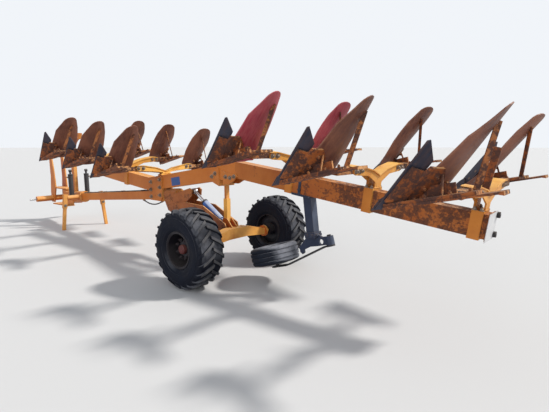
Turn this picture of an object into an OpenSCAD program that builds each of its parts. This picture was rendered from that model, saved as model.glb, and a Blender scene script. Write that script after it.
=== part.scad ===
// Semi-mounted reversible plough, parked with its frame a quarter turned.
// X runs rearward, Z up, and the near row of bodies lies on the -Y side.
// Sizes are measured from the point on the ground under the carriage axle.

/* [Layout] */
// Slope of the turnover axis, rising rearward, in degrees
axis_slope = 5.35; // [3:0.05:8]
// Height of the turnover axis above the carriage axle's place
axis_height = 975; // [960:1:1000]
// Radial clearance of a turning fit
fit = 0.08; // [0.02:0.01:0.1]
// Gap between curved faces that lie against each other
skin = 0.3; // [0.1:0.1:1]

/* [Main beam] */
// Height of the beam's section
beam_h = 190; // [160:1:200]
// Width of the beam's section
beam_w = 150; // [120:1:160]
// Length of the beam in front of its first saddle
beam_nose = 177; // [120:1:220]
// Place of the front bend, over the pivot block
bend_x = -1770; // [-1800:10:-1740]
// Height of the front bend
bend_z = 976; // [970:1:1000]
// Place of the knee, over the carriage
knee_x = 75; // [40:5:110]
// Height of the knee
knee_z = 1258; // [1250:1:1280]
// Length of the beam behind its last saddle
beam_tail = 46; // [44:1:90]
// Fall of the front length towards the bend, in degrees
front_fall = 5.8; // [5:0.1:7]
// Fall of the rear length towards its end, in degrees
rear_fall = 6.8; // [6:0.1:8]
// Side of the draw beam's square section
draw_side = 125; // [100:1:130]

/* [Plough bodies] */
// Distance between bodies along the beam
body_pitch = 900; // [880:5:920]
// Share tip of the rearmost front body
front_tip_x = -1953; // [-1980:1:-1930]
// Share tip of the foremost rear body
rear_tip_x = 439; // [430:1:500]
// Height of the share tips above the beam's centre line
tip_rise = 118; // [110:1:130]
// Distance from the beam's centre out to the soles
sole_out = 850; // [820:1:900]
// Angle between the furrow's line and level, in degrees
furrow_angle = 13; // [11:0.5:15]
// Angle of the cutting edge to the furrow, in degrees
edge_angle = 41; // [38:0.5:44]
// Length of the share's cutting edge
share_len = 560; // [500:5:600]
// Thickness of the share
share_t = 12; // [8:1:14]
// Radius of the mouldboard's hollow face
board_r = 330; // [320:5:345]
// Twist of the hollow along the mouldboard, in degrees
board_twist = 10; // [8:0.5:11]
// Thickness of the mouldboard
board_t = 9; // [6:0.5:12]
// Height of the seam between share and mouldboard above the sole
seam_h = 85; // [75:1:95]
// Reach of the mouldboard's tail along the cutting edge
tail_reach = 970; // [950:5:990]
// Height of the landside
landside_h = 150; // [120:1:170]
// Thickness of the landside
landside_t = 14; // [10:1:18]
// Distance from the share tip back to the saddle
saddle_back = 475; // [460:5:490]

/* [Carriage] */
// Outer diameter of the carriage tyres, out to the lugs' tips
tyre_d = 874; // [850:2:890]
// Width of the carriage tyres
tyre_w = 350; // [340:2:370]
// Distance between the middles of the tyres
track = 1435; // [1400:5:1500]
// Height of a lug
lug_h = 28; // [20:1:32]
// Lugs on each side of a tyre
lug_count = 22; // [16:1:24]
// Radius of the rim
rim_r = 205; // [195:1:210]
// Radius of the stub axle
stub_r = 35; // [30:1:40]
// Radius of the turnover spindles
spindle_r = 50; // [40:1:55]
// Outer radius of the rear turnover bearing
bearing_r = 84; // [75:1:86]
// Lift arm's pivot, rearward of the axle (negative is forward)
lift_x = -1180; // [-1200:5:-1150]
// Lift arm's pivot height
lift_z = 680; // [670:1:690]

/* [Headstock] */
// Place of the upright swivel pin
swivel_x = -4850; // [-4900:10:-4840]
// Place of the cross shaft
cross_x = -5350; // [-5450:10:-5300]
// Height of the cross shaft
cross_z = 470; // [430:5:500]
// Width between the link pins' outer ends
cross_w = 965; // [900:5:1010]
// Radius of the link pins
link_pin_r = 18.3; // [14:0.1:18.3]
// Radius of the top link's hole
top_hole_r = 16; // [12.7:0.1:16]
// Place of the parking stands
stand_x = -4160; // [-4200:10:-4140]
// Distance from the middle to a stand's foot
stand_foot_y = 400; // [380:5:430]

/* [Depth wheel] */
// Diameter of the depth wheel
gauge_d = 540; // [500:5:560]
// Width of the depth wheel
gauge_w = 200; // [160:5:210]
// Tilt of the depth wheel's plane, rising rearward, in degrees
gauge_tilt = 17; // [13:1:20]

/* [Hidden] */
$fn = 64;

paint = [0.78, 0.42, 0.13];
rust = [0.50, 0.26, 0.14];
brown = [0.40, 0.22, 0.18];
red = [0.50, 0.10, 0.12];
steel = [0.20, 0.20, 0.24];
bright = [0.75, 0.75, 0.76];
black = [0.07, 0.07, 0.08];
blue = [0.12, 0.16, 0.26];
white = [0.85, 0.85, 0.84];

// Height of the turnover axis at x
function axis_z(x) = axis_height + tan(axis_slope) * x;
// A point moved by a corner of a bent bar, square to the mean of its two slopes
function mitre(p, a, b, out) = p + out / cos((b - a) / 2) * [-sin((a + b) / 2), cos((a + b) / 2)];
function slope(p, q) = atan2(q[1] - p[1], q[0] - p[0]);
// Points of an arc about c from angle a to angle b
function arc(c, r, a, b, n) = [for (i = [0 : n]) c + r * [cos(a + (b - a) * i / n), sin(a + (b - a) * i / n)]];

beam_front_x = front_tip_x - 2 * body_pitch + saddle_back - beam_nose;
beam_rear_x = rear_tip_x + 2 * body_pitch + saddle_back + beam_tail;
beam_start = [beam_front_x, bend_z + tan(front_fall) * (bend_x - beam_front_x)];
bend = [bend_x, bend_z];
knee = [knee_x, knee_z];
beam_end = [beam_rear_x, knee_z - tan(rear_fall) * (beam_rear_x - knee_x)];
front_slope = -front_fall;
middle_slope = slope(bend, knee);
rear_slope = -rear_fall;

// Height of the beam's centre line at x, and its slope there
function beam_z(x) = x < bend_x ? bend_z - tan(front_fall) * (x - bend_x)
    : x < knee_x ? bend_z + tan(middle_slope) * (x - bend_x)
    : knee_z - tan(rear_fall) * (x - knee_x);
function beam_slope(x) = x < bend_x ? front_slope : x < knee_x ? middle_slope : rear_slope;

// Share tips, each [x, z], in two straight rows
front_tips = [for (i = [0 : 2]) let (x = front_tip_x - body_pitch * i)
    [x, bend_z - tan(front_fall) * (x - bend_x) + tip_rise]];
rear_tips = [for (i = [0 : 2]) let (x = rear_tip_x + body_pitch * i)
    [x, knee_z - tan(rear_fall) * (x - knee_x) + tip_rise]];

// The mouldboard's hollow is a cylinder, twisted a little towards the sole with its reach
hollow_x = 200;
hollow_y = 335;
hollow_z = 140;
// Place of the hollow face across the cutting edge, at reach e and height d above the sole
function face_z(e, d) = hollow_z
    - sqrt(pow(board_r, 2) - pow((d - hollow_y + (e - hollow_x) * tan(board_twist)) * cos(board_twist), 2));
share_lean = atan2(-face_z(hollow_x, seam_h), seam_h);
share_wide = sqrt(pow(seam_h, 2) + pow(face_z(hollow_x, seam_h), 2));
// Reach along the cutting edge at which the face meets the landside's plane
function shin(d) = let (near = -face_z(hollow_x, d) / tan(edge_angle)) -face_z(near, d) / tan(edge_angle);

// A leg's shank and the saddle that holds it
shank_w = 64;
shank_h = 50;
shank_t = 5;
cheek_t = 12;
saddle_w = 150;
saddle_long = shank_w + 2 * cheek_t;
strap_t = 14;
leg_end = 460;
leg_lap = 120;
notch = 60;
flange_t = 10;
heel = 750;
heel_step = 30;
heel_drop = 10;
tower_nose = 60;

// The model's origin lies on the ground, midway between its front and rear ends
front_reach = cross_x - tower_nose;
rear_reach = rear_tips[2][0] + (heel + heel_step) * cos(furrow_angle)
    + (landside_t + heel_drop) * sin(furrow_angle);

module placed() {
    translate([-(front_reach + rear_reach) / 2, 0, 0]) children();
}

// A flat outline in X and Z, given a width across Y about its middle
module across(w) {
    rotate([90, 0, 0]) linear_extrude(w, center = true) children();
}

// Local X lies along the turnover axis, from its point at x
module on_axis(x) {
    translate([x, 0, axis_z(x)]) rotate([0, -axis_slope, 0]) children();
}

module round_x(r, from, to) {
    translate([from, 0, 0]) rotate([0, 90, 0]) cylinder(r = r, h = to - from);
}

module round_y(r, from, to) {
    translate([0, from, 0]) rotate([-90, 0, 0]) cylinder(r = r, h = to - from);
}

module both_sides() {
    children();
    mirror([0, 1, 0]) children();
}

// Main beam

module beam_length(p, p_slope, q, q_slope, own) {
    half = beam_h / 2;
    across(beam_w) polygon([
        mitre(p, p_slope, own, -half), mitre(q, own, q_slope, -half),
        mitre(q, own, q_slope, half), mitre(p, p_slope, own, half)]);
}

module front_beam() {
    color(paint) beam_length(beam_start, front_slope, bend, middle_slope, front_slope);
}

module middle_beam() {
    color(paint) beam_length(bend, front_slope, knee, rear_slope, middle_slope);
}

module rear_beam() {
    color(paint) beam_length(knee, middle_slope, beam_end, rear_slope, rear_slope);
}

// Pivot block, draw beam and spindles

block_front = bend_x + 50;
block_rear = bend_x + 350;
block_low = 750;
block_cheek_t = 16;
// the bearing's front face, a little behind the block
rear_bearing_x = block_rear + 25;
rear_bearing_len = 270;
draw_front_x = -4100;
front_bearing_len = 560;
hose_r = 9;

module beam_below(x0, x1, low) {
    // Filling between the beam's underside and a lower edge
    under = [for (x = [x0, x1]) beam_z(x) - (beam_h / 2 + skin) / cos(middle_slope)];
    across(beam_w) polygon([[x0, low], [x1, low], [x1, under[1]], [x0, under[0]]]);
}

module pivot_block() {
    color(paint) {
        beam_below(block_front, block_rear, block_low);
        both_sides() difference() {
            translate([0, beam_w / 2 + block_cheek_t / 2 - skin, 0]) across(block_cheek_t + 2 * skin)
                polygon([[block_front, block_low], [block_rear - 40, block_low], [block_rear, block_low + 60],
                    [block_rear, beam_z(block_rear) + 60], [block_rear - 30, beam_z(block_rear) + 78],
                    [block_front + 30, beam_z(block_front) + 74], [block_front, beam_z(block_front) + 40]]);
            translate([block_front - 50, 0, bend_z - beam_h / 2 - 100]) cube([500, beam_w / 2 + skin, 400]);
        }
        on_axis(rear_bearing_x) {
            round_x(spindle_r, -60, rear_bearing_len);
            round_x(spindle_r + 12, rear_bearing_len + 6, rear_bearing_len + 24);
            round_x(spindle_r, rear_bearing_len, rear_bearing_len + 6);
        }
    }
}

module draw_beam() {
    length = block_front - draw_front_x;
    color(paint) difference() {
        on_axis(draw_front_x) {
            translate([0, -draw_side / 2, -draw_side / 2]) cube([length + 100, draw_side, draw_side]);
            round_x(spindle_r, -front_bearing_len + 12, 1);
        }
        // cut off square against the pivot block
        translate([block_front, -200, 0]) cube([400, 400, 2000]);
    }
}

// Hose that hangs in an arc under the draw beam, from there to the pivot block
module frame_hose() {
    hose_y = -40;
    sag = 62;
    from_x = block_front - 280;
    from = [from_x, axis_z(from_x) - draw_side / 2];
    to = [block_rear - 60, block_low];
    reach = norm(to - from);
    bend_r = reach * reach / (8 * sag) + sag / 2;
    tilt = slope(from, to);
    centre = (from + to) / 2 + (bend_r - sag) * [-sin(tilt), cos(tilt)];
    color(black) difference() {
        translate([centre[0], hose_y, centre[1]]) rotate([0, -tilt, 0]) intersection() {
            rotate([90, 0, 0]) rotate_extrude($fn = 320) translate([bend_r, 0]) circle(r = hose_r);
            translate([-reach, -20, -2 * bend_r]) cube([2 * reach, 40, bend_r + sag + 10]);
        }
        on_axis(draw_front_x) translate([0, -draw_side / 2 - skin, -draw_side / 2 - skin])
            cube([block_front - draw_front_x + 20, draw_side, draw_side]);
        translate([block_front - skin, -beam_w / 2, block_low - skin]) cube([500, beam_w, 300]);
    }
}

module knee_bracket() {
    // the cheeks stand square to the turnover axis, and lean with it beside the upright prop
    head_up = prop_head_z - axis_z(prop_foot[0]);
    lean = (head_up - 30) * sin(axis_slope);
    front = lean - prop_thick / 2 - prop_room_front - gusset_t;
    rear = lean + prop_thick / 2 + prop_room_rear;
    color(paint) difference() {
        on_axis(prop_foot[0]) {
            for (x = [front, rear]) translate([x, -beam_w / 2 - gusset_t, head_up - 60])
                cube([gusset_t, beam_w + 2 * gusset_t, 110]);
            both_sides() translate([0, beam_w / 2 + gusset_t / 2, 0]) across(gusset_t) {
                polygon([[front - 150, head_up + 10], [front, head_up - 60], [front + gusset_t, head_up - 60],
                    [front + gusset_t, head_up + 160], [front - 90, head_up + 150], [front - 170, head_up + 60]]);
                polygon([[rear, head_up - 40], [rear + 100, head_up - 46], [rear + 190, head_up - 10],
                    [rear + 250, head_up + 40], [rear + 225, head_up + 85], [rear + 60, head_up + 96],
                    [rear, head_up + 130]]);
            }
        }
        beam_room();
    }
}

// The beam's two rear lengths with a skin around them
module beam_room() {
    half = beam_h / 2 + skin;
    far_front = bend - 100 * [cos(middle_slope), sin(middle_slope)];
    for (run = [[far_front, middle_slope, knee, rear_slope, middle_slope],
        [knee, middle_slope, beam_end, rear_slope, rear_slope]])
        across(beam_w + 2 * skin) polygon([
            mitre(run[0], run[1], run[4], -half), mitre(run[2], run[4], run[3], -half),
            mitre(run[2], run[4], run[3], half), mitre(run[0], run[1], run[4], half)]);
}

// Saddles and legs

// Local origin at the beam's centre line over a body's saddle, X along the beam
module at_saddle(tip) {
    x = tip[0] + saddle_back;
    translate([x, 0, beam_z(x)]) rotate([0, -beam_slope(x), 0]) children();
}

// Height of the shank's middle straight over the beam's centre line
function shank_over(tip) = tip[1] + saddle_back * tan(furrow_angle) + shank_t - beam_z(tip[0] + saddle_back);
// The same point in the saddle's own frame
function shank_up(tip) = shank_over(tip) * cos(beam_slope(tip[0] + saddle_back));
function shank_shift(tip) = shank_over(tip) * sin(beam_slope(tip[0] + saddle_back));

// Outline of a saddle's arms across the beam: a short stem that opens to a wide shallow V
module leg_cheek(up) {
    half = saddle_w / 2;
    low = beam_h / 2 + skin;
    root = min(low + 75, up - 70);
    rotate([90, 0, 90]) linear_extrude(cheek_t) polygon([
        [-half, low], [half, low], [half, low + 18], [60, low + 34], [60, root], [200, up - 52],
        [leg_end - 40, up - 36], [leg_end - 10, up - 26], [leg_end, up], [leg_end - 10, up + 22],
        [leg_end - 40, up + 30], [leg_end - 110, up + 30], [150, up - 6], [0, up - notch],
        [-150, up - 6], [110 - leg_end, up + 30], [40 - leg_end, up + 30], [10 - leg_end, up + 22],
        [-leg_end, up], [10 - leg_end, up - 26], [40 - leg_end, up - 36],
        [-200, up - 52], [-60, root], [-60, low + 34], [-half, low + 18]]);
}

// Top flange that follows the V of both arms
module arm_flange(up) {
    top = flange_t - 2;
    rotate([90, 0, 90]) linear_extrude(saddle_long + 24, center = true) polygon([
        [leg_end - 14, up + 28], [leg_end - 4, up + 32], [leg_end - 36, up + 30 + top], [leg_end - 112, up + 30 + top],
        [150, up - 6 + top], [0, up - notch + top], [-150, up - 6 + top], [112 - leg_end, up + 30 + top],
        [36 - leg_end, up + 30 + top], [4 - leg_end, up + 32], [14 - leg_end, up + 28], [110 - leg_end, up + 28],
        [-150, up - 8], [0, up - notch - 2], [150, up - 8], [leg_end - 110, up + 28]]);
}

module saddle(tip, strapped) {
    up = shank_up(tip);
    at_saddle(tip) translate([shank_shift(tip), 0, 0]) {
        for (x = [-shank_w / 2 - cheek_t, shank_w / 2]) translate([x, 0, 0]) leg_cheek(up);
        arm_flange(up);
        // foot plate, straps down the beam's sides and the strap under it
        translate([-saddle_long / 2, -saddle_w / 2 - strap_t, beam_h / 2 + skin])
            cube([saddle_long, saddle_w + 2 * strap_t, 20]);
        // web that closes the stem in front
        translate([-shank_w / 2, -56, beam_h / 2]) cube([8, 112, up - notch - beam_h / 2]);
        if (strapped) {
            both_sides() translate([-saddle_long / 2, beam_w / 2 + skin, -beam_h / 2 - strap_t - skin])
                cube([saddle_long, strap_t, beam_h + strap_t + 12]);
            translate([-saddle_long / 2, -beam_w / 2 - 1, -beam_h / 2 - strap_t - skin])
                cube([saddle_long, beam_w + 2, strap_t]);
        }
    }
}

module saddles_front() {
    // the rearmost of these stands over the pivot block, whose cheeks stand for its straps
    color(paint) for (i = [0 : 2]) saddle(front_tips[i], i > 0);
}

module saddles_rear() {
    color(paint) for (tip = rear_tips) saddle(tip, true);
}

// Plough bodies: local X runs back along the furrow, Y in from the sole, Z in the direction of throw

module on_body(tip) {
    translate([tip[0], -sole_out, tip[1]]) rotate([0, -furrow_angle, 0]) children();
}

module on_edge() {
    rotate([0, -edge_angle, 0]) children();
}

module on_share() {
    on_edge() rotate([-share_lean, 0, 0]) children();
}

module hollow(r) {
    translate([hollow_x, hollow_y, hollow_z]) rotate([0, 0, -board_twist]) translate([-600, 0, 0])
        rotate([0, 90, 0]) cylinder(r = r, h = 1800, $fn = 128);
}

module board_outline() {
    tail = 110;
    polygon(concat(
        [[shin(seam_h) + 4, seam_h + 1], [430, seam_h + 1], [700, seam_h + 3], [800, 120]],
        arc([tail_reach - tail, 262], tail, -70, 80, 8),
        [[770, 408], [657, 428], [546, 440], [334, 437], [shin(400) + 8, 400], [shin(330) + 4, 330],
            [shin(200) + 4, 200]]));
}

module board(tip) {
    on_body(tip) on_edge() intersection() {
        difference() {
            hollow(board_r + board_t);
            hollow(board_r);
        }
        translate([0, 0, -260]) linear_extrude(260 + hollow_z) board_outline();
    }
}

module share(tip) {
    wide = share_wide;
    on_body(tip) {
        on_share() translate([0, 0, -share_t]) linear_extrude(share_t)
            polygon([[0, 0], [share_len, 0], [share_len + 14, 16], [share_len - 90, wide],
                [shin(seam_h) + 4, wide]]);
        // the point, a thicker nose over the share's tip
        on_share() linear_extrude(14)
            polygon([[-22, -6], [70, -6], [150, 30], [120, 90], [66, 90]]);
    }
}

// What lies behind the share and the mouldboard
module behind_face(tip) {
    difference() {
        children();
        on_body(tip) {
            on_edge() hollow(board_r + board_t + skin);
            on_share() translate([-100, -60, -share_t - skin]) cube([900, share_wide + 62, 300]);
        }
    }
}

module landside(tip) {
    behind_face(tip) on_body(tip) rotate([90, 0, 0]) mirror([0, 0, 1]) linear_extrude(landside_h)
        polygon([[60, -landside_t], [heel, -landside_t], [heel + heel_step, -landside_t - heel_drop],
            [heel + heel_step, 0], [60, 0]]);
}

module stay(from, to, r) {
    v = to - from;
    translate(from) rotate([0, acos(v[2] / norm(v)), atan2(v[1], v[0])]) cylinder(r = r, h = norm(v), $fn = 8);
}

module strut(from, to, w, t) {
    v = to - from;
    translate(from) rotate([0, acos(v[2] / norm(v)), atan2(v[1], v[0])])
        translate([-w / 2, -t / 2, 0]) cube([w, t, norm(v)]);
}

module frog_plates() {
    // web on the landside
    translate([0, 0, skin]) linear_extrude(22) polygon([[60, 10], [640, 10], [650, 110], [600, 200],
        [300, 200], [120, 85]]);
    // plate that follows the back of the mouldboard
    on_edge() intersection() {
        difference() {
            hollow(board_r + board_t + 16);
            hollow(board_r + board_t);
        }
        translate([0, 0, -290]) linear_extrude(290 + hollow_z)
            polygon([[shin(seam_h) + 36, 50], [440, 50], [470, 110], [400, 170], [shin(190) + 36, 190]]);
    }
    // bearer under the share
    on_share() translate([0, 0, -share_t - 24]) linear_extrude(24 - skin)
        polygon([[90, 15], [380, 20], [400, share_wide + 10], [150, share_wide + 10]]);
    // rib under the bearer, strut to the tail, and a thin stay
    translate([200, 130, skin]) cube([300, 20, 90]);
    strut([600, 150, 10], [759, 300, 412], 38, 10);
    stay([430, 60, 12], [436, 165, 205], 8);
}

module frog(tip) {
    behind_face(tip) {
        on_body(tip) difference() {
            frog_plates();
            // room for the landside
            translate([0, -10, -200]) cube([heel, landside_h + 15, 200 + skin]);
        }
        // shank that runs in between the saddle's cheeks
        at_saddle(tip) translate([shank_shift(tip), 0, shank_up(tip)])
            translate([skin - shank_w / 2, landside_h + 10 - sole_out, -shank_h / 2])
            cube([shank_w - 2 * skin, sole_out - landside_h - 10 - leg_end + leg_lap, shank_h]);
    }
}

module landsides(tips) {
    both_sides() for (tip = tips) landside(tip);
}

module shares(tips) {
    both_sides() for (tip = tips) share(tip);
}

module frogs(tips) {
    both_sides() for (tip = tips) frog(tip);
}

module frogs_front() {
    color(rust) frogs(front_tips);
}

module frogs_rear() {
    color(rust) frogs(rear_tips);
}

module landsides_front() {
    color(rust) landsides(front_tips);
}

module landsides_rear() {
    color(rust) landsides(rear_tips);
}

module shares_front() {
    color(steel) shares(front_tips);
}

module shares_rear() {
    color(steel) shares(rear_tips);
}

module boards_front() {
    color(brown) both_sides() for (tip = front_tips) board(tip);
}

module boards_rear() {
    color(brown) both_sides() for (i = [1, 2]) board(rear_tips[i]);
}

module boards_red() {
    color(red) both_sides() board(rear_tips[0]);
}

// Rear end

board_out = 130;
cap_t = 12;

module end_cap() {
    color(rust) translate([beam_end[0], 0, beam_end[1]]) rotate([0, -rear_slope, 0])
        translate([skin, -beam_w / 2 - 12, -beam_h / 2 - 12]) cube([cap_t, beam_w + 24, beam_h + 24]);
}

module marker_board() {
    color(white) translate([beam_end[0], 0, beam_end[1]]) rotate([0, -rear_slope, 0])
        translate([skin + cap_t, -board_out, -beam_h / 2 - 14]) cube([4, 2 * board_out, beam_h + 28]);
}

module skimmer_stem() {
    last = rear_tips[2];
    // its foot stands on its two lower edges in the saddle's V
    half = 13;
    base = shank_up(last) - notch + flange_t - 2 + half * (notch - 6) / 150 + skin;
    color(rust) at_saddle(last) translate([shank_shift(last), 0, base]) {
        translate([-30, -half, 0]) cube([60, 2 * half, 44]);
        translate([0, 0, 30]) rotate([0, 5, 0]) translate([-26, -9, 0]) cube([52, 18, 320]);
    }
}

// Depth wheel

// Place of the leg's middle line at the beam's centre line, and its lean
gauge_top_x = rear_tips[0][0] + saddle_back + 158;
gauge_lean = 7.5;
gauge_hub = [gauge_top_x - 452, 336];
gauge_arm_len = 773;
gauge_leg_side = 95;
gauge_leg_len = 540;
gauge_axle_r = 20;
gauge_arm_t = 16;
gauge_arm_w = 80;
gauge_arm_drop = 135;
gauge_pad_t = 20;
gauge_plate_t = 24;
gauge_boss_r = 42;
gauge_boss_h = 90;

// Local frame of the wheel's plane, X rearward, at its centre
module at_gauge() {
    translate([gauge_hub[0], 0, gauge_hub[1]]) rotate([0, -gauge_tilt, 0]) children();
}

// The beam's centre line over the leg, with the beam's slope or another
module over_leg(turn) {
    translate([gauge_top_x, 0, beam_z(gauge_top_x)]) rotate([0, -turn, 0]) children();
}

// Pad under the beam, and the strap that holds it there
module gauge_clamp() {
    low = -beam_h / 2 - skin;
    // the pad starts clear of the saddle's strap in front of it
    pad_front = 140;
    pad_rear = 70;
    strap_front = 65;
    strap_w = 30;
    strap_thick = 10;
    color(blue) over_leg(rear_slope) translate([-pad_front, -beam_w / 2 - 12, low - gauge_pad_t]) {
        cube([pad_front + pad_rear, beam_w + 24, gauge_pad_t]);
        translate([pad_front - strap_front, 12 - skin - strap_thick, 0]) difference() {
            cube([strap_w, beam_w + 2 * skin + 2 * strap_thick, beam_h + 2 * skin + gauge_pad_t + strap_thick]);
            translate([-10, strap_thick, 1]) cube([100, beam_w + 2 * skin, beam_h + 2 * skin + gauge_pad_t - 1]);
        }
    }
}

// Square leg with a collar, and the bracket plate that carries the arm's boss
module gauge_leg() {
    half = gauge_leg_side / 2;
    collar = half + 14;
    color(blue) {
        difference() {
            over_leg(gauge_lean) {
                translate([-half, -half, -gauge_leg_len]) cube([gauge_leg_side, gauge_leg_side, gauge_leg_len]);
                translate([-collar, -collar, -gauge_leg_len]) cube([2 * collar, 2 * collar, 60]);
            }
            over_leg(rear_slope) translate([-300, -150, -beam_h / 2 - skin - gauge_pad_t]) cube([600, 300, 400]);
        }
        at_gauge() difference() {
            union() {
                across(gauge_plate_t) difference() {
                    polygon([[400, -50], [376, -26], [378, 28], [465, 91], [540, 150], [640, 140], [690, 92], [740, 90],
                        [740, 5], [600, 8], [519, 14], [430, -8], [425, -40]]);
                    translate([670, 46]) circle(r = 27);
                }
                translate([gauge_arm_len, 0, fit]) cylinder(r = gauge_boss_r, h = gauge_boss_h);
            }
            translate([gauge_arm_len, 0, -gauge_arm_drop]) cylinder(r = gauge_axle_r + fit, h = 600);
        }
    }
}

// Cranked arm under the wheel, with the wheel's axle and its own hinge pin
module gauge_arm() {
    low = -gauge_arm_drop - gauge_arm_t;
    knee_at = 160;
    flat_from = gauge_arm_len - gauge_boss_r - 20;
    color(black) at_gauge() {
        across(gauge_arm_w) polygon([[-50, low], [knee_at, low], [flat_from, -gauge_arm_t], [gauge_arm_len, -gauge_arm_t],
            [gauge_arm_len, 0], [flat_from - 5, 0], [knee_at - 5, low + gauge_arm_t], [-50, low + gauge_arm_t]]);
        translate([gauge_arm_len, 0, -gauge_arm_t]) cylinder(r = gauge_boss_r, h = gauge_arm_t);
        translate([gauge_arm_len, 0, -gauge_arm_t]) cylinder(r = gauge_axle_r, h = gauge_boss_h + 30);
        translate([0, 0, low]) cylinder(r = 50, h = gauge_arm_t);
        translate([0, 0, low]) cylinder(r = gauge_axle_r, h = -low + 60);
    }
}

module gauge_tyre() {
    r = gauge_d / 2;
    half = gauge_w / 2;
    rib = 8;
    // outline of one half, from the bead over the shoulder to the middle groove
    outline = [[150, half - 22], [178, half - 6], [r - 52, half], [r - 20, half - 8], [r - 8, half - 18],
        [r - 4, half - 30], [r - 4, half - 44], [r - 4 - rib, half - 48], [r - 4 - rib, half - 56], [r, half - 60],
        [r, 8], [r - rib, 4]];
    color(black) at_gauge() rotate_extrude($fn = 96) polygon(concat(
        [for (p = outline) [p[0], -p[1]]], [for (k = [len(outline) - 1 : -1 : 0]) outline[k]]));
}

module gauge_rim() {
    color(black) at_gauge() rotate_extrude($fn = 96) polygon([
        [gauge_axle_r + fit, -60], [45, -60], [45, -20], [140, -20], [140, -gauge_w / 2 + 20], [150, -gauge_w / 2 + 20],
        [150, gauge_w / 2 - 20], [140, gauge_w / 2 - 20], [140, 20], [45, 20], [45, 60], [gauge_axle_r + fit, 60]]);
}

// Carriage

cylinder_top = [-800, 940];
cylinder_foot = [-250, 600];
prop_foot = [-160, 620];
prop_head_z = 1115;
prop_thick = 36;
prop_bar_w = 50;
prop_w = 60;
prop_pin_r = 16;
prop_room_front = 16;
prop_room_rear = 10;
prop_tube_len = 275;
prop_bar_low = 175;
gusset_t = 14;
head_in = 70;
head_plate_t = 16;
arm_in = 92;
arm_plate_t = 16;

module carriage_head() {
    color(paint) difference() {
        union() {
            on_axis(rear_bearing_x) round_x(bearing_r, 0, rear_bearing_len);
            both_sides() translate([0, head_in + head_plate_t / 2, 0]) across(head_plate_t) polygon([
                [rear_bearing_x + 15, 790], [lift_x - 110, lift_z - 40], [lift_x, lift_z - 70], [lift_x + 100, lift_z - 40],
                [cylinder_top[0] + 40, 880], [cylinder_top[0] + 55, 960], [cylinder_top[0] + 10, 985],
                [lift_x + 100, 900], [lift_x + 50, 880]]);
            translate([lift_x, 0, lift_z]) round_y(50, -head_in - head_plate_t, head_in + head_plate_t);
        }
        on_axis(rear_bearing_x) round_x(spindle_r + fit, -50, rear_bearing_len + 500);
        translate([lift_x, 0, lift_z]) round_y(25 + fit, -200, 200);
    }
    // the rod's pin
    color(bright) translate([cylinder_top[0], 0, cylinder_top[1]]) round_y(13, -head_in - 1, head_in + 1);
}

module lift_arm() {
    color(paint) {
        both_sides() translate([0, arm_in + arm_plate_t / 2, 0]) across(arm_plate_t) polygon([
            [lift_x - 60, lift_z - 30], [lift_x, lift_z - 65], [-620, 640], [-75, 420], [-75, 560], [-90, 600],
            [-500, 780], [-900, 795], [lift_x, lift_z + 70], [lift_x - 60, lift_z + 35]]);
        translate([lift_x, 0, lift_z]) round_y(25, -arm_in - 1, arm_in + 1);
        translate([cylinder_foot[0], 0, cylinder_foot[1]]) round_y(20, -arm_in - 1, arm_in + 1);
    }
}

module axle() {
    hub_face = 500;
    color(paint) {
        translate([-75, 0, 0]) rotate([90, 0, 90]) linear_extrude(115) polygon([
            [-150, 428], [150, 428], [hub_face - 30, 396], [hub_face, 396], [hub_face, 478], [hub_face - 30, 478],
            [150, 552], [-150, 552], [30 - hub_face, 478], [-hub_face, 478], [-hub_face, 396], [30 - hub_face, 396]]);
        both_sides() translate([0, 0, tyre_d / 2]) {
            round_y(72, hub_face - 26, hub_face);
            round_y(stub_r, hub_face - 1, 790);
        }
        both_sides() translate([0, prop_w / 2 + 8, 0]) across(14)
            polygon([[-60, 470], [-20, 548], [-120, 655], [-190, 655], [-198, 600], [-110, 500]]);
        translate([prop_foot[0], 0, prop_foot[1]]) round_y(prop_pin_r, -prop_w / 2 - 6, prop_w / 2 + 6);
    }
}

// Depth to which a lug reaches into the carcass
lug_root = 70;

module lugs(side) {
    // bars of the tread, each from the middle to the shoulder, in the envelope of the tyre
    r = tyre_d / 2;
    base = r - lug_h;
    half = tyre_w / 2;
    turn = 360 / lug_count;
    for (i = [0 : lug_count - 1]) rotate([0, i * turn + (side > 0 ? 0 : turn / 2), 0]) intersection() {
        translate([0, 0, r - lug_h - lug_root]) linear_extrude(lug_h + lug_root)
            polygon([[-16, -8 * side], [16, -8 * side], [138, 178 * side], [110, 178 * side]]);
        rotate([90, 0, 0]) rotate_extrude($fn = 96) polygon([
            [base - lug_root - 5, -half + 12], [base - 12, -half + 12], [r - 26, -half + 26], [r - 8, -half + 48],
            [r, -half + 82], [r, half - 82], [r - 8, half - 48], [r - 26, half - 26], [base - 12, half - 12],
            [base - lug_root - 5, half - 12]]);
    }
}

module carriage_tyre(side) {
    r = tyre_d / 2;
    base = r - lug_h;
    half = tyre_w / 2;
    color(black) translate([0, side * track / 2, r]) {
        lugs(1);
        lugs(-1);
        rotate([90, 0, 0]) rotate_extrude($fn = 96) polygon([
            [rim_r, -half + 36], [rim_r + 30, -half + 12], [rim_r + 90, -half], [r - 110, -half + 1],
            [base - 34, -half + 14], [base - 10, -half + 36], [base, -half + 80], [base, half - 80],
            [base - 10, half - 36], [base - 34, half - 14], [r - 110, half - 1], [rim_r + 90, half],
            [rim_r + 30, half - 12], [rim_r, half - 36]]);
    }
}

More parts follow.
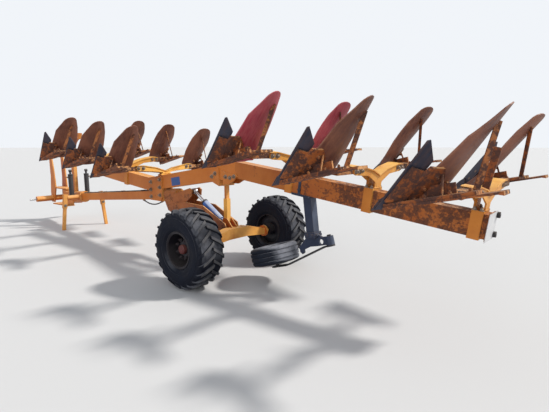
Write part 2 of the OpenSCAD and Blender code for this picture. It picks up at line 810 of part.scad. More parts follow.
module carriage_rim(side) {
    half = tyre_w / 2;
    // the dish lies towards the carriage's middle, so the outer side is deep
    color(black) translate([0, side * track / 2, tyre_d / 2]) rotate([side * 90, 0, 0]) rotate_extrude($fn = 96)
        polygon([
            [stub_r + fit, -60], [85, -60], [85, 60], [120, 75], [rim_r - 25, 60], [rim_r - 25, -half + 36],
            [rim_r, -half + 36], [rim_r, half - 36], [rim_r - 12, half - 36], [rim_r - 12, 80], [130, 95], [75, 80],
            [75, 170], [stub_r + fit, 170]]);
}

module lift_barrel() {
    v = cylinder_top - cylinder_foot;
    lean = atan2(v[1], v[0]);
    color(blue) translate([cylinder_foot[0], 0, cylinder_foot[1]]) rotate([0, -lean, 0]) difference() {
        union() {
            round_y(38, -40, 40);
            round_x(42, 30, 400);
        }
        round_y(20 + fit, -50, 50);
        round_x(22 + fit, 60, 500);
    }
}

module lift_rod() {
    v = cylinder_top - cylinder_foot;
    lean = atan2(v[1], v[0]);
    color(bright) translate([cylinder_foot[0], 0, cylinder_foot[1]]) rotate([0, -lean, 0]) {
        round_x(22, 200, norm(v) - 25);
        translate([norm(v), 0, 0]) difference() {
            round_y(36, -30, 30);
            round_y(20, -50, 50);
        }
    }
}

module prop_tube() {
    color(paint) translate([prop_foot[0], 0, prop_foot[1]]) difference() {
        union() {
            translate([-30, -prop_w / 2, 0]) cube([60, prop_w, prop_tube_len]);
            round_y(30, -prop_w / 2, prop_w / 2);
        }
        translate([-prop_thick / 2 - skin, -prop_bar_w / 2 - skin, 25])
            cube([prop_thick + 2 * skin, prop_bar_w + 2 * skin, 400]);
        round_y(prop_pin_r + fit, -60, 60);
    }
}

module prop_bar() {
    color(paint) translate([prop_foot[0], 0, prop_foot[1]]) difference() {
        translate([-prop_thick / 2, -prop_bar_w / 2, prop_bar_low])
            cube([prop_thick, prop_bar_w, prop_head_z - prop_foot[1] - prop_bar_low]);
        translate([0, 0, prop_head_z - prop_foot[1] - 30]) round_x(13, -50, 50);
    }
}

// Headstock

front_bearing_r = 105;
tower_t = 20;
top_hole_x = 30;
top_hole_z = 1290;

module front_block() {
    block_x = draw_front_x - 5;
    swivel_z = axis_z(swivel_x);
    color(paint) difference() {
        union() {
            on_axis(block_x) round_x(front_bearing_r, -front_bearing_len, 0);
            // cheeks that carry the upright swivel tube
            both_sides() translate([0, 80, 0]) across(20) polygon([
                [swivel_x, swivel_z - 130], [block_x - 350, swivel_z - 90], [block_x - 350, swivel_z + 110],
                [swivel_x, swivel_z + 130]]);
            translate([swivel_x, 0, swivel_z - 150]) cylinder(r = 92, h = 300);
            // cross tube for the stands
            translate([stand_x, 0, axis_z(stand_x)]) difference() {
                round_y(45, -330, 330);
                round_y(200, -80, 80);
            }
        }
        both_sides() at_stand(1) translate([-60, -stand_tube / 2, 250]) cube([120, 200, 500]);
        on_axis(block_x) round_x(spindle_r + fit, -front_bearing_len + 16, 20);
        translate([swivel_x, 0, 0]) cylinder(r = 35 + fit, h = 2000);
    }
}

module turning_cylinders() {
    color(black) both_sides() translate([draw_front_x - 230, front_bearing_r + skin + 42, 0]) {
        translate([0, 0, 560]) cylinder(r = 42, h = 440);
        translate([0, 0, 990]) cylinder(r = 18, h = 60);
        translate([0, 0, 1070]) round_y(24, -22, 22);
    }
}

function mast_base(x) = axis_z(x) + front_bearing_r / cos(axis_slope) + skin;

module hose_mast() {
    mast_x = draw_front_x - 450;
    curl = [draw_front_x - 80, 1400];
    color(paint) rotate([90, 0, 0]) linear_extrude(60, center = true) polygon(concat(
        [[mast_x, mast_base(mast_x)], [mast_x + 110, mast_base(mast_x + 110)]],
        arc(curl, 260, 180, 80, 8),
        arc(curl, 370, 80, 180, 8)));
}

stand_tilt = 6;
stand_side = 50;
stand_tube = 66;

module at_stand(side) {
    translate([stand_x, side * stand_foot_y, 0]) rotate([side * stand_tilt, 0, 0]) children();
}

module stand_tubes() {
    bore = stand_side + 2 * skin;
    color(paint) for (side = [-1, 1]) at_stand(side) difference() {
        translate([-stand_tube / 2, -stand_tube / 2, 400]) cube([stand_tube, stand_tube, 260]);
        translate([-bore / 2, -bore / 2, 300]) cube([bore, bore, 400]);
    }
}

module stand_leg(side) {
    color(rust) intersection() {
        at_stand(side) translate([-stand_side / 2, -stand_side / 2, -20]) cube([stand_side, stand_side, 620]);
        translate([stand_x - 200, side * stand_foot_y - 200, 0]) cube([400, 400, 700]);
    }
}

module headstock() {
    swivel_z = axis_z(swivel_x);
    color(paint) {
        for (z = [swivel_z - 178, swivel_z + 156]) translate([0, 0, z]) linear_extrude(22)
            polygon([[swivel_x + 90, -70], [swivel_x + 90, 70], [cross_x, 120], [cross_x, -120]]);
        translate([swivel_x, 0, swivel_z - 178]) cylinder(r = 35, h = 356);
        difference() {
            both_sides() translate([0, 110, 0]) across(tower_t) polygon([
                [cross_x - tower_nose, cross_z - 80], [cross_x + 90, cross_z - 80], [cross_x + 200, 700],
                [cross_x + 150, 1100], [cross_x + 90, 1340], [cross_x - 20, 1340], [cross_x - 10, 900],
                [cross_x - tower_nose, 600]]);
            translate([cross_x + top_hole_x, 0, top_hole_z]) round_y(top_hole_r, -200, 200);
        }
        translate([cross_x, 0, cross_z]) round_y(55, -420, 420);
    }
}

module link_pins() {
    color(bright) translate([cross_x, 0, cross_z]) both_sides() round_y(link_pin_r, 420, cross_w / 2 + 60);
}

placed() carriage_head();
placed() lift_arm();
placed() axle();
placed() carriage_tyre(-1);  // tyre_near
placed() carriage_rim(-1);  // rim_near
placed() carriage_tyre(1);  // tyre_far
placed() carriage_rim(1);  // rim_far
placed() lift_barrel();
placed() lift_rod();
placed() prop_tube();
placed() prop_bar();
placed() draw_beam();
placed() pivot_block();
placed() frame_hose();
placed() front_beam();
placed() middle_beam();
placed() rear_beam();
placed() knee_bracket();
placed() saddles_front();
placed() saddles_rear();
placed() frogs_front();
placed() frogs_rear();
placed() landsides_front();
placed() landsides_rear();
placed() shares_front();
placed() shares_rear();
placed() boards_front();
placed() boards_rear();
placed() boards_red();
placed() skimmer_stem();
placed() end_cap();
placed() marker_board();
placed() gauge_clamp();
placed() gauge_leg();
placed() gauge_arm();
placed() gauge_tyre();
placed() gauge_rim();
placed() front_block();
placed() turning_cylinders();
placed() hose_mast();
placed() stand_tubes();
placed() stand_leg(-1);  // stand_leg_near
placed() stand_leg(1);  // stand_leg_far
placed() headstock();
placed() link_pins();
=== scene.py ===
# %% [markdown]
# A reversible plough, parked with its frame a quarter turned.
# The imported CAD model is the fixed frame of this scene. Its nodes already have the right shapes, so
# they only take a finish here. What is added are the small pieces that a maker bolts and welds on:
# nuts, hub caps, lamps, welds and pipe unions. They are copies of a few patterns, which keeps them
# alike.

# %% Load the frame
import math

import bpy
from mathutils import Matrix, Vector


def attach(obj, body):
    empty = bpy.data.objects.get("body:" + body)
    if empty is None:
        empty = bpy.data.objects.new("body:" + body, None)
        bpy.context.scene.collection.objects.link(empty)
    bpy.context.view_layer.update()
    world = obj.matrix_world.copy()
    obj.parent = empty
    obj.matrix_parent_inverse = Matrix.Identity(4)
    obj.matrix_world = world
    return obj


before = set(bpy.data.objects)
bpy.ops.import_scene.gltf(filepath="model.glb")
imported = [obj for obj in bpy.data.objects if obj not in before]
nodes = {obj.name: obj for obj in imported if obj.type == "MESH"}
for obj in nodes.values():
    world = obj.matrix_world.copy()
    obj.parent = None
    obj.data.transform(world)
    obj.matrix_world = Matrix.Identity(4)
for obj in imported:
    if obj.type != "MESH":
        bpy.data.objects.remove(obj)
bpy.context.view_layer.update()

# %% [markdown]
# The drawing of the plough measures in millimetres from the ground under the carriage axle, while
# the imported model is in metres, with its origin in the middle of the length. Numbers converted by
# hand would no longer show where they came from. One function moves a point of the drawing to the
# model instead, so that every number below is one that stands on the drawing.

# %% Places on the drawing
ORIGIN_BACK = 1202.796
AXIS_SLOPE = math.radians(5.35)
AXIS_HEIGHT = 975.0
BEND = (-1770.0, 976.0)
KNEE = (75.0, 1258.0)
FRONT_FALL = math.radians(5.8)
REAR_FALL = math.radians(6.8)
MIDDLE_RISE = math.atan2(KNEE[1] - BEND[1], KNEE[0] - BEND[0])
BODY_PITCH = 900
FIRST_FRONT_TIP = -1953
FIRST_REAR_TIP = 439
TIP_RISE = 118.0


def at(x, y, z):
    """A point of the drawing, in millimetres, as a point of the model, in metres."""
    return Vector(((x + ORIGIN_BACK) / 1000, y / 1000, z / 1000))


def axis_z(x):
    """Height of the sloping axis that the frame turns about."""
    return AXIS_HEIGHT + math.tan(AXIS_SLOPE) * x


def beam_z(x):
    """Height of the middle line of the bent main beam."""
    if x < BEND[0]:
        return BEND[1] - math.tan(FRONT_FALL) * (x - BEND[0])
    if x < KNEE[0]:
        return BEND[1] + math.tan(MIDDLE_RISE) * (x - BEND[0])
    return KNEE[1] - math.tan(REAR_FALL) * (x - KNEE[0])


def beam_slope(x):
    return -FRONT_FALL if x < BEND[0] else MIDDLE_RISE if x < KNEE[0] else -REAR_FALL


tips_x = [FIRST_FRONT_TIP - BODY_PITCH * i for i in range(3)]
tips_x += [FIRST_REAR_TIP + BODY_PITCH * i for i in range(3)]
all_tips = [(x, beam_z(x) + TIP_RISE) for x in tips_x]
print("share tips", [(x, round(z)) for x, z in all_tips])

# %% [markdown]
# Each plough body has its own frame: back along the furrow, in from the sole, and in the direction
# that it throws the earth. A saddle has one too, square to the beam under it. With a matrix for
# each, a nut is placed by the numbers that a fitter would use, and the same numbers serve all
# twelve bodies.

# %% Frames of a body and a saddle
FURROW = math.radians(13.0)
CUT = math.radians(41.0)
SOLE_OUT = 850.0
SADDLE_BACK = 475.0
SHANK_RISE = 5.0


def turned_y(angle):
    """Rotation that lifts the X axis towards Z by this angle."""
    return Matrix.Rotation(-angle, 4, "Y")


def frame_at(x, z, angle):
    """Frame of millimetres in the plough's middle plane, with its X axis lifted by this angle."""
    return Matrix.Translation(at(x, 0, z)) @ turned_y(angle) @ Matrix.Scale(0.001, 4)


def body_frame(tip, side):
    """Frame of a plough body; side is -1 for the near row and 1 for the far row."""
    flip = Matrix.Diagonal((1, -side, 1, 1))
    out = Matrix.Translation((0, -SOLE_OUT / 1000, 0))
    return Matrix.Translation(at(tip[0], 0, tip[1])) @ flip @ out @ turned_y(FURROW) @ Matrix.Scale(0.001, 4)


def edge_frame(tip, side):
    """The body's frame turned along the cutting edge of its share."""
    return body_frame(tip, side) @ turned_y(CUT)


def saddle_frame(tip):
    """Frame of a saddle on the beam, and the height of its arms over the beam's middle line."""
    x = tip[0] + SADDLE_BACK
    over = tip[1] + SADDLE_BACK * math.tan(FURROW) + SHANK_RISE - beam_z(x)
    slope = beam_slope(x)
    along = Matrix.Translation((over * math.sin(slope), 0, 0))
    return frame_at(x, beam_z(x), slope) @ along, over * math.cos(slope)


print("arms over the beam", [round(saddle_frame(tip)[1]) for tip in all_tips])

# %% [markdown]
# A real field machine is never one flat colour. Its finishes share a few patterns: cloudy rust,
# wear along edges, dust on faces that look up, painted sunlight and streaks of earth. They could be
# drawn anew in each material, but a node group is built once and placed in each material with its
# own values, so that a change is made in one place. These helpers add a node with one call.


# %% Node helpers
def add_node(tree, kind, **settings):
    node = tree.nodes.new(kind)
    for name, value in settings.items():
        setattr(node, name, value)
    return node


def wire(tree, source, target):
    tree.links.new(source, target)


def set_or_wire(tree, socket, value):
    if isinstance(value, bpy.types.NodeSocket):
        wire(tree, value, socket)
    else:
        socket.default_value = value


def math_node(tree, operation, a, b, clamp=False):
    node = add_node(tree, "ShaderNodeMath", operation=operation, use_clamp=clamp)
    set_or_wire(tree, node.inputs[0], a)
    set_or_wire(tree, node.inputs[1], b)
    return node.outputs[0]


def times(tree, a, b):
    return math_node(tree, "MULTIPLY", a, b)


def blend_colours(tree, mask, low, high):
    """Mix of two colours; each is a socket, or red, green and blue."""
    node = add_node(tree, "ShaderNodeMix", data_type="RGBA")
    set_or_wire(tree, node.inputs[0], mask)
    for socket, value in ((node.inputs[6], low), (node.inputs[7], high)):
        set_or_wire(tree, socket, (*value, 1) if isinstance(value, tuple) else value)
    return node.outputs[2]


def ramp_between(tree, value, low, high, out_low=0.0, out_high=1.0):
    node = add_node(tree, "ShaderNodeMapRange", interpolation_type="SMOOTHSTEP")
    for socket, number in zip(node.inputs[:5], (value, low, high, out_low, out_high)):
        set_or_wire(tree, socket, number)
    return node.outputs[0]


def new_group(name, inputs, outputs):
    """A node group whose sockets are all numbers, with its input node and its output node."""
    group = bpy.data.node_groups.new(name, "ShaderNodeTree")
    for label, value in inputs.items():
        socket = group.interface.new_socket(name=label, in_out="INPUT", socket_type="NodeSocketFloat")
        socket.default_value = value
    for label in outputs:
        group.interface.new_socket(name=label, in_out="OUTPUT", socket_type="NodeSocketFloat")
    return group, group.nodes.new("NodeGroupInput"), group.nodes.new("NodeGroupOutput")


def place_group(tree, group, **values):
    node = add_node(tree, "ShaderNodeGroup")
    node.node_tree = group
    for label, value in values.items():
        set_or_wire(tree, node.inputs[label.replace("_", " ")], value)
    return node


def object_place(tree, output="Object"):
    """The place, or with output Normal the direction, of the surface in its own object's frame."""
    return add_node(tree, "ShaderNodeTexCoord").outputs[output]


def noise(tree, scale, detail=5.0, rough=0.6, stretch=(1, 1, 1)):
    """Cloud pattern on the object's own coordinates, in metres."""
    mapping = add_node(tree, "ShaderNodeMapping")
    mapping.inputs["Scale"].default_value = stretch
    wire(tree, object_place(tree), mapping.inputs["Vector"])
    cloud = add_node(tree, "ShaderNodeTexNoise")
    wire(tree, mapping.outputs["Vector"], cloud.inputs["Vector"])
    set_or_wire(tree, cloud.inputs["Scale"], scale)
    cloud.inputs["Detail"].default_value = detail
    cloud.inputs["Roughness"].default_value = rough
    return cloud.outputs["Fac"]


# %% [markdown]
# Rust breaks through paint in clouds with a ragged border. A single noise gives blobs with smooth
# rims. Here a broad noise says where the rust is, and a fine one eats its border into spots and
# also says how deep the rust is, from thin orange to dark scale.

# %% Group: cloudy rust
BROAD_SHARE, FINE_SHARE = 0.52, 0.48
BAR, BAR_FALL, BORDER = 0.66, 0.34, 0.10
cloudy_rust, entry, result = new_group(
    "cloudy_rust", {"Cloud Scale": 4.0, "Spot Scale": 45.0, "Amount": 0.4}, ["Mask", "Depth"])
broad = noise(cloudy_rust, entry.outputs["Cloud Scale"], 6.0, 0.62)
fine = noise(cloudy_rust, entry.outputs["Spot Scale"], 7.0, 0.7)
broad_part = times(cloudy_rust, broad, BROAD_SHARE)
fine_part = times(cloudy_rust, fine, FINE_SHARE)
both = math_node(cloudy_rust, "ADD", broad_part, fine_part)
bar = math_node(cloudy_rust, "SUBTRACT", BAR, times(cloudy_rust, entry.outputs["Amount"], BAR_FALL))
over_bar = ramp_between(cloudy_rust, both, bar, math_node(cloudy_rust, "ADD", bar, BORDER))
wire(cloudy_rust, over_bar, result.inputs["Mask"])
wire(cloudy_rust, ramp_between(cloudy_rust, fine, 0.35, 0.7), result.inputs["Depth"])
print("cloudy rust", len(cloudy_rust.nodes), "nodes")

# %% [markdown]
# Paint wears off first along edges. The wear could be painted on by hand for each piece, but a
# bevelled normal differs from the true one only near an edge, so comparing the two finds every
# edge of every piece. A noise then breaks the line up, as a real edge is never worn evenly.

# %% Group: worn edges
worn_edges, entry, result = new_group("worn_edges", {"Width": 0.006, "Break Scale": 30.0}, ["Mask"])
soft_normal = add_node(worn_edges, "ShaderNodeBevel", samples=4)
wire(worn_edges, entry.outputs["Width"], soft_normal.inputs["Radius"])
true_normal = add_node(worn_edges, "ShaderNodeNewGeometry")
alike = add_node(worn_edges, "ShaderNodeVectorMath", operation="DOT_PRODUCT")
wire(worn_edges, soft_normal.outputs[0], alike.inputs[0])
wire(worn_edges, true_normal.outputs["Normal"], alike.inputs[1])
near_edge = ramp_between(worn_edges, alike.outputs["Value"], 0.995, 0.90)
broken = ramp_between(worn_edges, noise(worn_edges, entry.outputs["Break Scale"], 4.0, 0.65), 0.40, 0.56)
wire(worn_edges, times(worn_edges, near_edge, broken), result.inputs["Mask"])
print("worn edges", len(worn_edges.nodes), "nodes")

# %% [markdown]
# Dust settles where a face looks up. The direction is read in the piece's own frame, and not in
# the world's, so that the dust stays on the piece when a joint turns it.

# %% Group: settled dust
settled_dust, entry, result = new_group("settled_dust", {"Amount": 0.5, "Patch Scale": 3.0}, ["Mask"])
parts = add_node(settled_dust, "ShaderNodeSeparateXYZ")
wire(settled_dust, object_place(settled_dust, "Normal"), parts.inputs[0])
upward = ramp_between(settled_dust, parts.outputs["Z"], 0.15, 0.95, 0.12, 1.0)
patches = ramp_between(settled_dust, noise(settled_dust, entry.outputs["Patch Scale"], 6.0, 0.66), 0.30, 0.72)
dusty = times(settled_dust, upward, patches)
wire(settled_dust, times(settled_dust, dusty, entry.outputs["Amount"]), result.inputs["Mask"])
print("settled dust", len(settled_dust.nodes), "nodes")

# %% [markdown]
# Painted sunlight: a face that looks up or to the rear, towards the key sun, is given a lighter colour.
# It is the same idea as the dust, with a slanting direction in place of straight up.

# %% Group: painted sunlight
TO_SUN = (0.66, 0.08, 0.75)
painted_sunlight, entry, result = new_group("painted_sunlight", {"Amount": 0.9, "Patch Scale": 5.0}, ["Mask"])
to_sun = add_node(painted_sunlight, "ShaderNodeVectorMath", operation="DOT_PRODUCT")
to_sun.inputs[1].default_value = TO_SUN
wire(painted_sunlight, object_place(painted_sunlight, "Normal"), to_sun.inputs[0])
turned = ramp_between(painted_sunlight, to_sun.outputs["Value"], 0.40, 0.72)
cloud = noise(painted_sunlight, entry.outputs["Patch Scale"], 6.0, 0.66)
patches = ramp_between(painted_sunlight, cloud, 0.28, 0.60, 0.35, 1.0)
lit_here = times(painted_sunlight, turned, patches)
wire(painted_sunlight, times(painted_sunlight, lit_here, entry.outputs["Amount"]), result.inputs["Mask"])
print("bleached faces", len(painted_sunlight.nodes), "nodes")

# %% [markdown]
# Earth slides over a mouldboard from the shin to the tail, so its marks are long and thin. A noise
# that is stretched along the furrow gives them, and a plain one adds the broad patches.

# %% Group: earth streaks
ALONG_FURROW = (0.10, 1.0, 0.16)
earth_streaks, entry, result = new_group("earth_streaks", {"Fineness": 60.0}, ["Mask", "Fine"])
streak = noise(earth_streaks, entry.outputs["Fineness"], 4.0, 0.6, stretch=ALONG_FURROW)
patch = noise(earth_streaks, 3.2, 6.0, 0.65)
wire(earth_streaks, ramp_between(earth_streaks, patch, 0.36, 0.66), result.inputs["Mask"])
wire(earth_streaks, ramp_between(earth_streaks, streak, 0.3, 0.7), result.inputs["Fine"])
print("groups", sorted(group.name for group in bpy.data.node_groups))

# %% [markdown]
# The paints. Orange paint that has stood outside for years has rust coming through at the edges
# first, then in clouds, and it is given painted sunlight, a lighter peach where a face looks towards
# the sun. Each paint could be a tree of nodes of its own, but they differ only in their colours and
# in how far they have gone, so one function makes them all, and a new one is a line of numbers.


# %% Finish helpers
DRY_EARTH = (0.60, 0.47, 0.34)
EDGE_WEAR = 0.7
RUST_ROUGH = 0.86
STEEL_SHINE = 0.28


def new_finish(name):
    finish = bpy.data.materials.new(name)
    finish.use_nodes = True
    tree = finish.node_tree
    return finish, tree, tree.nodes["Principled BSDF"]


def bump_from(tree, surface, height, strength, distance):
    bump = add_node(tree, "ShaderNodeBump")
    bump.inputs["Strength"].default_value = strength
    bump.inputs["Distance"].default_value = distance
    wire(tree, height, bump.inputs["Height"])
    wire(tree, bump.outputs["Normal"], surface.inputs["Normal"])


def painted(name, paint, faded, sunlit_colour, rust, rust_dark, amount, cloud=4.0, dust=0.3, edge=0.007,
            rough=0.5, sunlight_amount=0.85, rust_grows=None):
    """Weathered paint on steel, rusted in clouds and along edges, with painted sunlight where it
    looks up or rearward.

    rust_grows is a start and an end in metres along X, and the amount of rust at the start.
    """
    finish, tree, surface = new_finish(name)
    if rust_grows:
        start, end, first_amount = rust_grows
        along = add_node(tree, "ShaderNodeSeparateXYZ")
        wire(tree, object_place(tree), along.inputs[0])
        amount = ramp_between(tree, along.outputs["X"], start, end, first_amount, amount)
    rust_spots = place_group(tree, cloudy_rust, Cloud_Scale=cloud, Spot_Scale=42.0, Amount=amount)
    edges = place_group(tree, worn_edges, Width=edge, Break_Scale=34.0)
    dust_here = place_group(tree, settled_dust, Amount=dust, Patch_Scale=5.0)
    # Painted sunlight: the sunlit colour is laid on faces that look towards the key sun.
    sunny = place_group(tree, painted_sunlight, Amount=sunlight_amount, Patch_Scale=4.0)
    tone = ramp_between(tree, noise(tree, 2.3, 5.0, 0.6), 0.3, 0.7)
    coat = blend_colours(tree, tone, paint, faded)
    coat = blend_colours(tree, sunny.outputs["Mask"], coat, sunlit_colour)
    steel = blend_colours(tree, rust_spots.outputs["Depth"], rust_dark, rust)
    bare_edge = times(tree, edges.outputs["Mask"], EDGE_WEAR)
    bare = math_node(tree, "MAXIMUM", rust_spots.outputs["Mask"], bare_edge)
    colour = blend_colours(tree, bare, coat, steel)
    colour = blend_colours(tree, dust_here.outputs["Mask"], colour, DRY_EARTH)
    wire(tree, colour, surface.inputs["Base Color"])
    gloss = ramp_between(tree, bare, 0.0, 1.0, rough, RUST_ROUGH)
    matt = math_node(tree, "ADD", gloss, times(tree, dust_here.outputs["Mask"], 0.3), clamp=True)
    wire(tree, matt, surface.inputs["Roughness"])
    height = math_node(tree, "SUBTRACT", times(tree, noise(tree, 120.0, 3.0, 0.6), 0.25), bare)
    bump_from(tree, surface, height, 0.35, 0.0012)
    surface.inputs["Specular IOR Level"].default_value = STEEL_SHINE
    return finish


# %% Orange paints and rusts
# The rear beam is the most mottled, and its rust grows from the knee to the tail.
# The third colour of each paint is painted sunlight, for the faces that look towards the sun.
RUST = (0.22, 0.078, 0.030)
DARK_RUST = (0.085, 0.036, 0.024)
SUNLIT_PEACH = (0.86, 0.43, 0.125)
orange_paint = painted(
    "orange_paint", (0.42, 0.108, 0.011), (0.52, 0.155, 0.020), SUNLIT_PEACH, RUST, DARK_RUST, 0.24)
mottled_paint = painted(
    "mottled_paint", (0.34, 0.083, 0.011), (0.45, 0.135, 0.020), (0.68, 0.32, 0.10), (0.17, 0.055, 0.024),
    (0.070, 0.030, 0.021), 0.68, cloud=11.0, dust=0.12, sunlight_amount=0.6, rust_grows=(1.75, 3.05, 0.30))
leg_paint = painted(
    "leg_paint", (0.44, 0.125, 0.013), (0.60, 0.215, 0.028), (0.92, 0.52, 0.11), RUST, DARK_RUST, 0.26,
    cloud=7.0, dust=0.2)
# The prop tube's whole coat is painted sunlight: a yellow that stands in for sun on orange paint.
sunlit_prop_paint = painted(
    "sunlit_paint", (0.72, 0.30, 0.035), (0.82, 0.40, 0.065), (0.90, 0.52, 0.15), RUST, DARK_RUST, 0.16)
stand_paint = painted(
    "stand_paint", (0.54, 0.185, 0.020), (0.64, 0.255, 0.038), SUNLIT_PEACH, RUST, DARK_RUST, 0.14)
carriage_paint = painted(
    "carriage_paint", (0.25, 0.062, 0.013), (0.38, 0.112, 0.020), (0.76, 0.38, 0.12),
    (0.16, 0.056, 0.026), (0.065, 0.028, 0.020), 0.46, cloud=8.0)
axle_paint = painted(
    "axle_paint", (0.42, 0.086, 0.010), (0.52, 0.135, 0.018), (0.85, 0.44, 0.10), RUST, DARK_RUST, 0.22)
rusty_steel = painted(
    "rusty_steel", (0.20, 0.053, 0.015), (0.35, 0.100, 0.022), (0.68, 0.35, 0.14), (0.10, 0.037, 0.024),
    (0.045, 0.024, 0.022), 0.64, cloud=11.0, dust=0.12, rough=0.74)
print("orange paints and rusts", len(bpy.data.materials))

# %% Blue, black and white paints
# Here too the third colour of each paint is painted sunlight.
blue_paint = painted(
    "dark_blue_paint", (0.014, 0.022, 0.048), (0.030, 0.042, 0.080), (0.08, 0.10, 0.15),
    (0.11, 0.06, 0.04), (0.05, 0.035, 0.03), 0.10, dust=0.12)
black_paint = painted(
    "black_paint", (0.012, 0.013, 0.017), (0.028, 0.029, 0.034), (0.07, 0.07, 0.075),
    (0.10, 0.055, 0.035), (0.04, 0.028, 0.024), 0.12, dust=0.12)
cylinder_paint = painted(
    "cylinder_paint", (0.045, 0.12, 0.40), (0.09, 0.20, 0.52), (0.50, 0.56, 0.68),
    (0.20, 0.12, 0.08), (0.10, 0.06, 0.05), 0.10, dust=0.1)
rim_paint = painted(
    "rim_paint", (0.006, 0.006, 0.010), (0.015, 0.013, 0.018), (0.045, 0.040, 0.042),
    (0.050, 0.021, 0.018), (0.022, 0.013, 0.013), 0.20, dust=0.03)
cap_paint = painted(
    "cap_paint", (0.060, 0.012, 0.013), (0.095, 0.022, 0.020), (0.18, 0.06, 0.05),
    (0.10, 0.04, 0.03), (0.05, 0.03, 0.025), 0.20, dust=0.1)
patch_paint = painted(
    "patch_paint", (0.022, 0.058, 0.19), (0.042, 0.090, 0.26), (0.14, 0.20, 0.38), RUST, DARK_RUST, 0.10,
    dust=0.1, edge=0.002)
white_board = painted(
    "white_board", (0.64, 0.64, 0.65), (0.54, 0.54, 0.56), (0.66, 0.66, 0.67),
    (0.30, 0.22, 0.16), (0.14, 0.10, 0.08), 0.16, dust=0.1, edge=0.006, rough=0.42)
print("paints", len(bpy.data.materials))

# %% [markdown]
# A mouldboard is bare steel that the earth has scoured and the weather has browned, so its colour
# runs in streaks, and the streaks are also what roughens it. The first rear pair still has its
# crimson coat. Shares are the same steel, darker and a little metallic, so that one function with
# other values serves all three.


# %% Mouldboards and shares
def mouldboard(name, low, high, mark, mark_amount, rough):
    finish, tree, surface = new_finish(name)
    streaks = place_group(tree, earth_streaks, Fineness=55.0)
    edges = place_group(tree, worn_edges, Width=0.008, Break_Scale=24.0)
    spots = place_group(tree, cloudy_rust, Cloud_Scale=6.0, Spot_Scale=60.0, Amount=mark_amount)
    colour = blend_colours(tree, streaks.outputs["Mask"], low, high)
    colour = blend_colours(tree, times(tree, streaks.outputs["Fine"], 0.35), colour, mark)
    marked = math_node(tree, "MAXIMUM", spots.outputs["Mask"], edges.outputs["Mask"])
    colour = blend_colours(tree, marked, colour, mark)
    wire(tree, colour, surface.inputs["Base Color"])
    matt = ramp_between(tree, streaks.outputs["Fine"], 0.0, 1.0, rough, rough + 0.22)
    wire(tree, matt, surface.inputs["Roughness"])
    bump_from(tree, surface, streaks.outputs["Fine"], 0.12, 0.0008)
    surface.inputs["Specular IOR Level"].default_value = STEEL_SHINE
    return finish


brown_board = mouldboard(
    "brown_mouldboard", (0.098, 0.036, 0.031), (0.205, 0.080, 0.053), (0.33, 0.150, 0.085), 0.25, 0.42)
red_board = mouldboard(
    "crimson_mouldboard", (0.30, 0.030, 0.055), (0.43, 0.060, 0.085), (0.50, 0.17, 0.16), 0.10, 0.36)
share_steel = mouldboard(
    "share_steel", (0.018, 0.023, 0.042), (0.042, 0.047, 0.072), (0.125, 0.072, 0.060), 0.24, 0.42)
share_steel.node_tree.nodes["Principled BSDF"].inputs["Metallic"].default_value = 0.35
print("mouldboards", brown_board.name, red_board.name, share_steel.name)

# %% [markdown]
# Rubber is almost black and hardly shines. What shows the lugs of a tyre is the dust on their
# tops. The tops could be a slot of their own, but the tyre is one CAD mesh that isn't changed here,
# so the distance from the axle tells the tread from the side wall.

# %% Rubber
ROAD_DUST = (0.20, 0.185, 0.17)
SUNLIT_GREY = (0.30, 0.31, 0.35)
LUG_DUST = (0.105, 0.102, 0.105)
RUBBER_SHINE = 0.14
AXLE = (ORIGIN_BACK / 1000, 0.437)
TREAD_R = 0.429
TREAD_EDGE = 0.008


def rubber_finish(name, dark, dusty_tone, dust=0.2, sunlight_amount=0.2, axle=None, tread=None):
    """Black rubber; with an axle and a tread radius in metres, the tread beyond that radius is dusty."""
    finish, tree, surface = new_finish(name)
    dust_here = place_group(tree, settled_dust, Amount=dust, Patch_Scale=7.0)
    grain = noise(tree, 90.0, 4.0, 0.6)
    cloud = ramp_between(tree, noise(tree, 6.0, 5.0, 0.62), 0.35, 0.68)
    colour = blend_colours(tree, cloud, dark, dusty_tone)
    colour = blend_colours(tree, dust_here.outputs["Mask"], colour, ROAD_DUST)
    # Painted sunlight: a grey laid on faces that look towards the key sun, strongest on the depth wheel's
    # tyre.
    sunny = place_group(tree, painted_sunlight, Amount=sunlight_amount, Patch_Scale=9.0)
    colour = blend_colours(tree, sunny.outputs["Mask"], colour, SUNLIT_GREY)
    if axle:
        spoke = add_node(tree, "ShaderNodeMapping")
        spoke.inputs["Location"].default_value = (-axle[0], 0, -axle[1])
        spoke.inputs["Scale"].default_value = (1, 0, 1)
        wire(tree, object_place(tree), spoke.inputs["Vector"])
        reach = add_node(tree, "ShaderNodeVectorMath", operation="LENGTH")
        wire(tree, spoke.outputs["Vector"], reach.inputs[0])
        worn = ramp_between(tree, reach.outputs["Value"], tread - TREAD_EDGE, tread)
        scuffed = ramp_between(tree, noise(tree, 11.0, 6.0, 0.7), 0.34, 0.62, 0.25, 0.85)
        colour = blend_colours(tree, times(tree, worn, scuffed), colour, LUG_DUST)
    wire(tree, colour, surface.inputs["Base Color"])
    wire(tree, ramp_between(tree, cloud, 0.0, 1.0, 0.58, 0.85), surface.inputs["Roughness"])
    bump_from(tree, surface, grain, 0.2, 0.0006)
    surface.inputs["Specular IOR Level"].default_value = RUBBER_SHINE
    return finish


tyre_rubber = rubber_finish(
    "tyre_rubber", (0.003, 0.004, 0.0095), (0.008, 0.010, 0.018), 0.06, 0.26, AXLE, TREAD_R)
gauge_rubber = rubber_finish("gauge_rubber", (0.005, 0.0075, 0.0155), (0.013, 0.017, 0.028), 0.25, 0.85)
hose_rubber = rubber_finish("hose_rubber", (0.014, 0.014, 0.016), (0.034, 0.033, 0.036))
print("rubbers", tyre_rubber.name, gauge_rubber.name, hose_rubber.name)

# %% [markdown]
# Rods, nuts and bolt heads are too small for streaks or edge wear to show. A soft cloud between
# two tones of metal and a fine grain are enough for them.


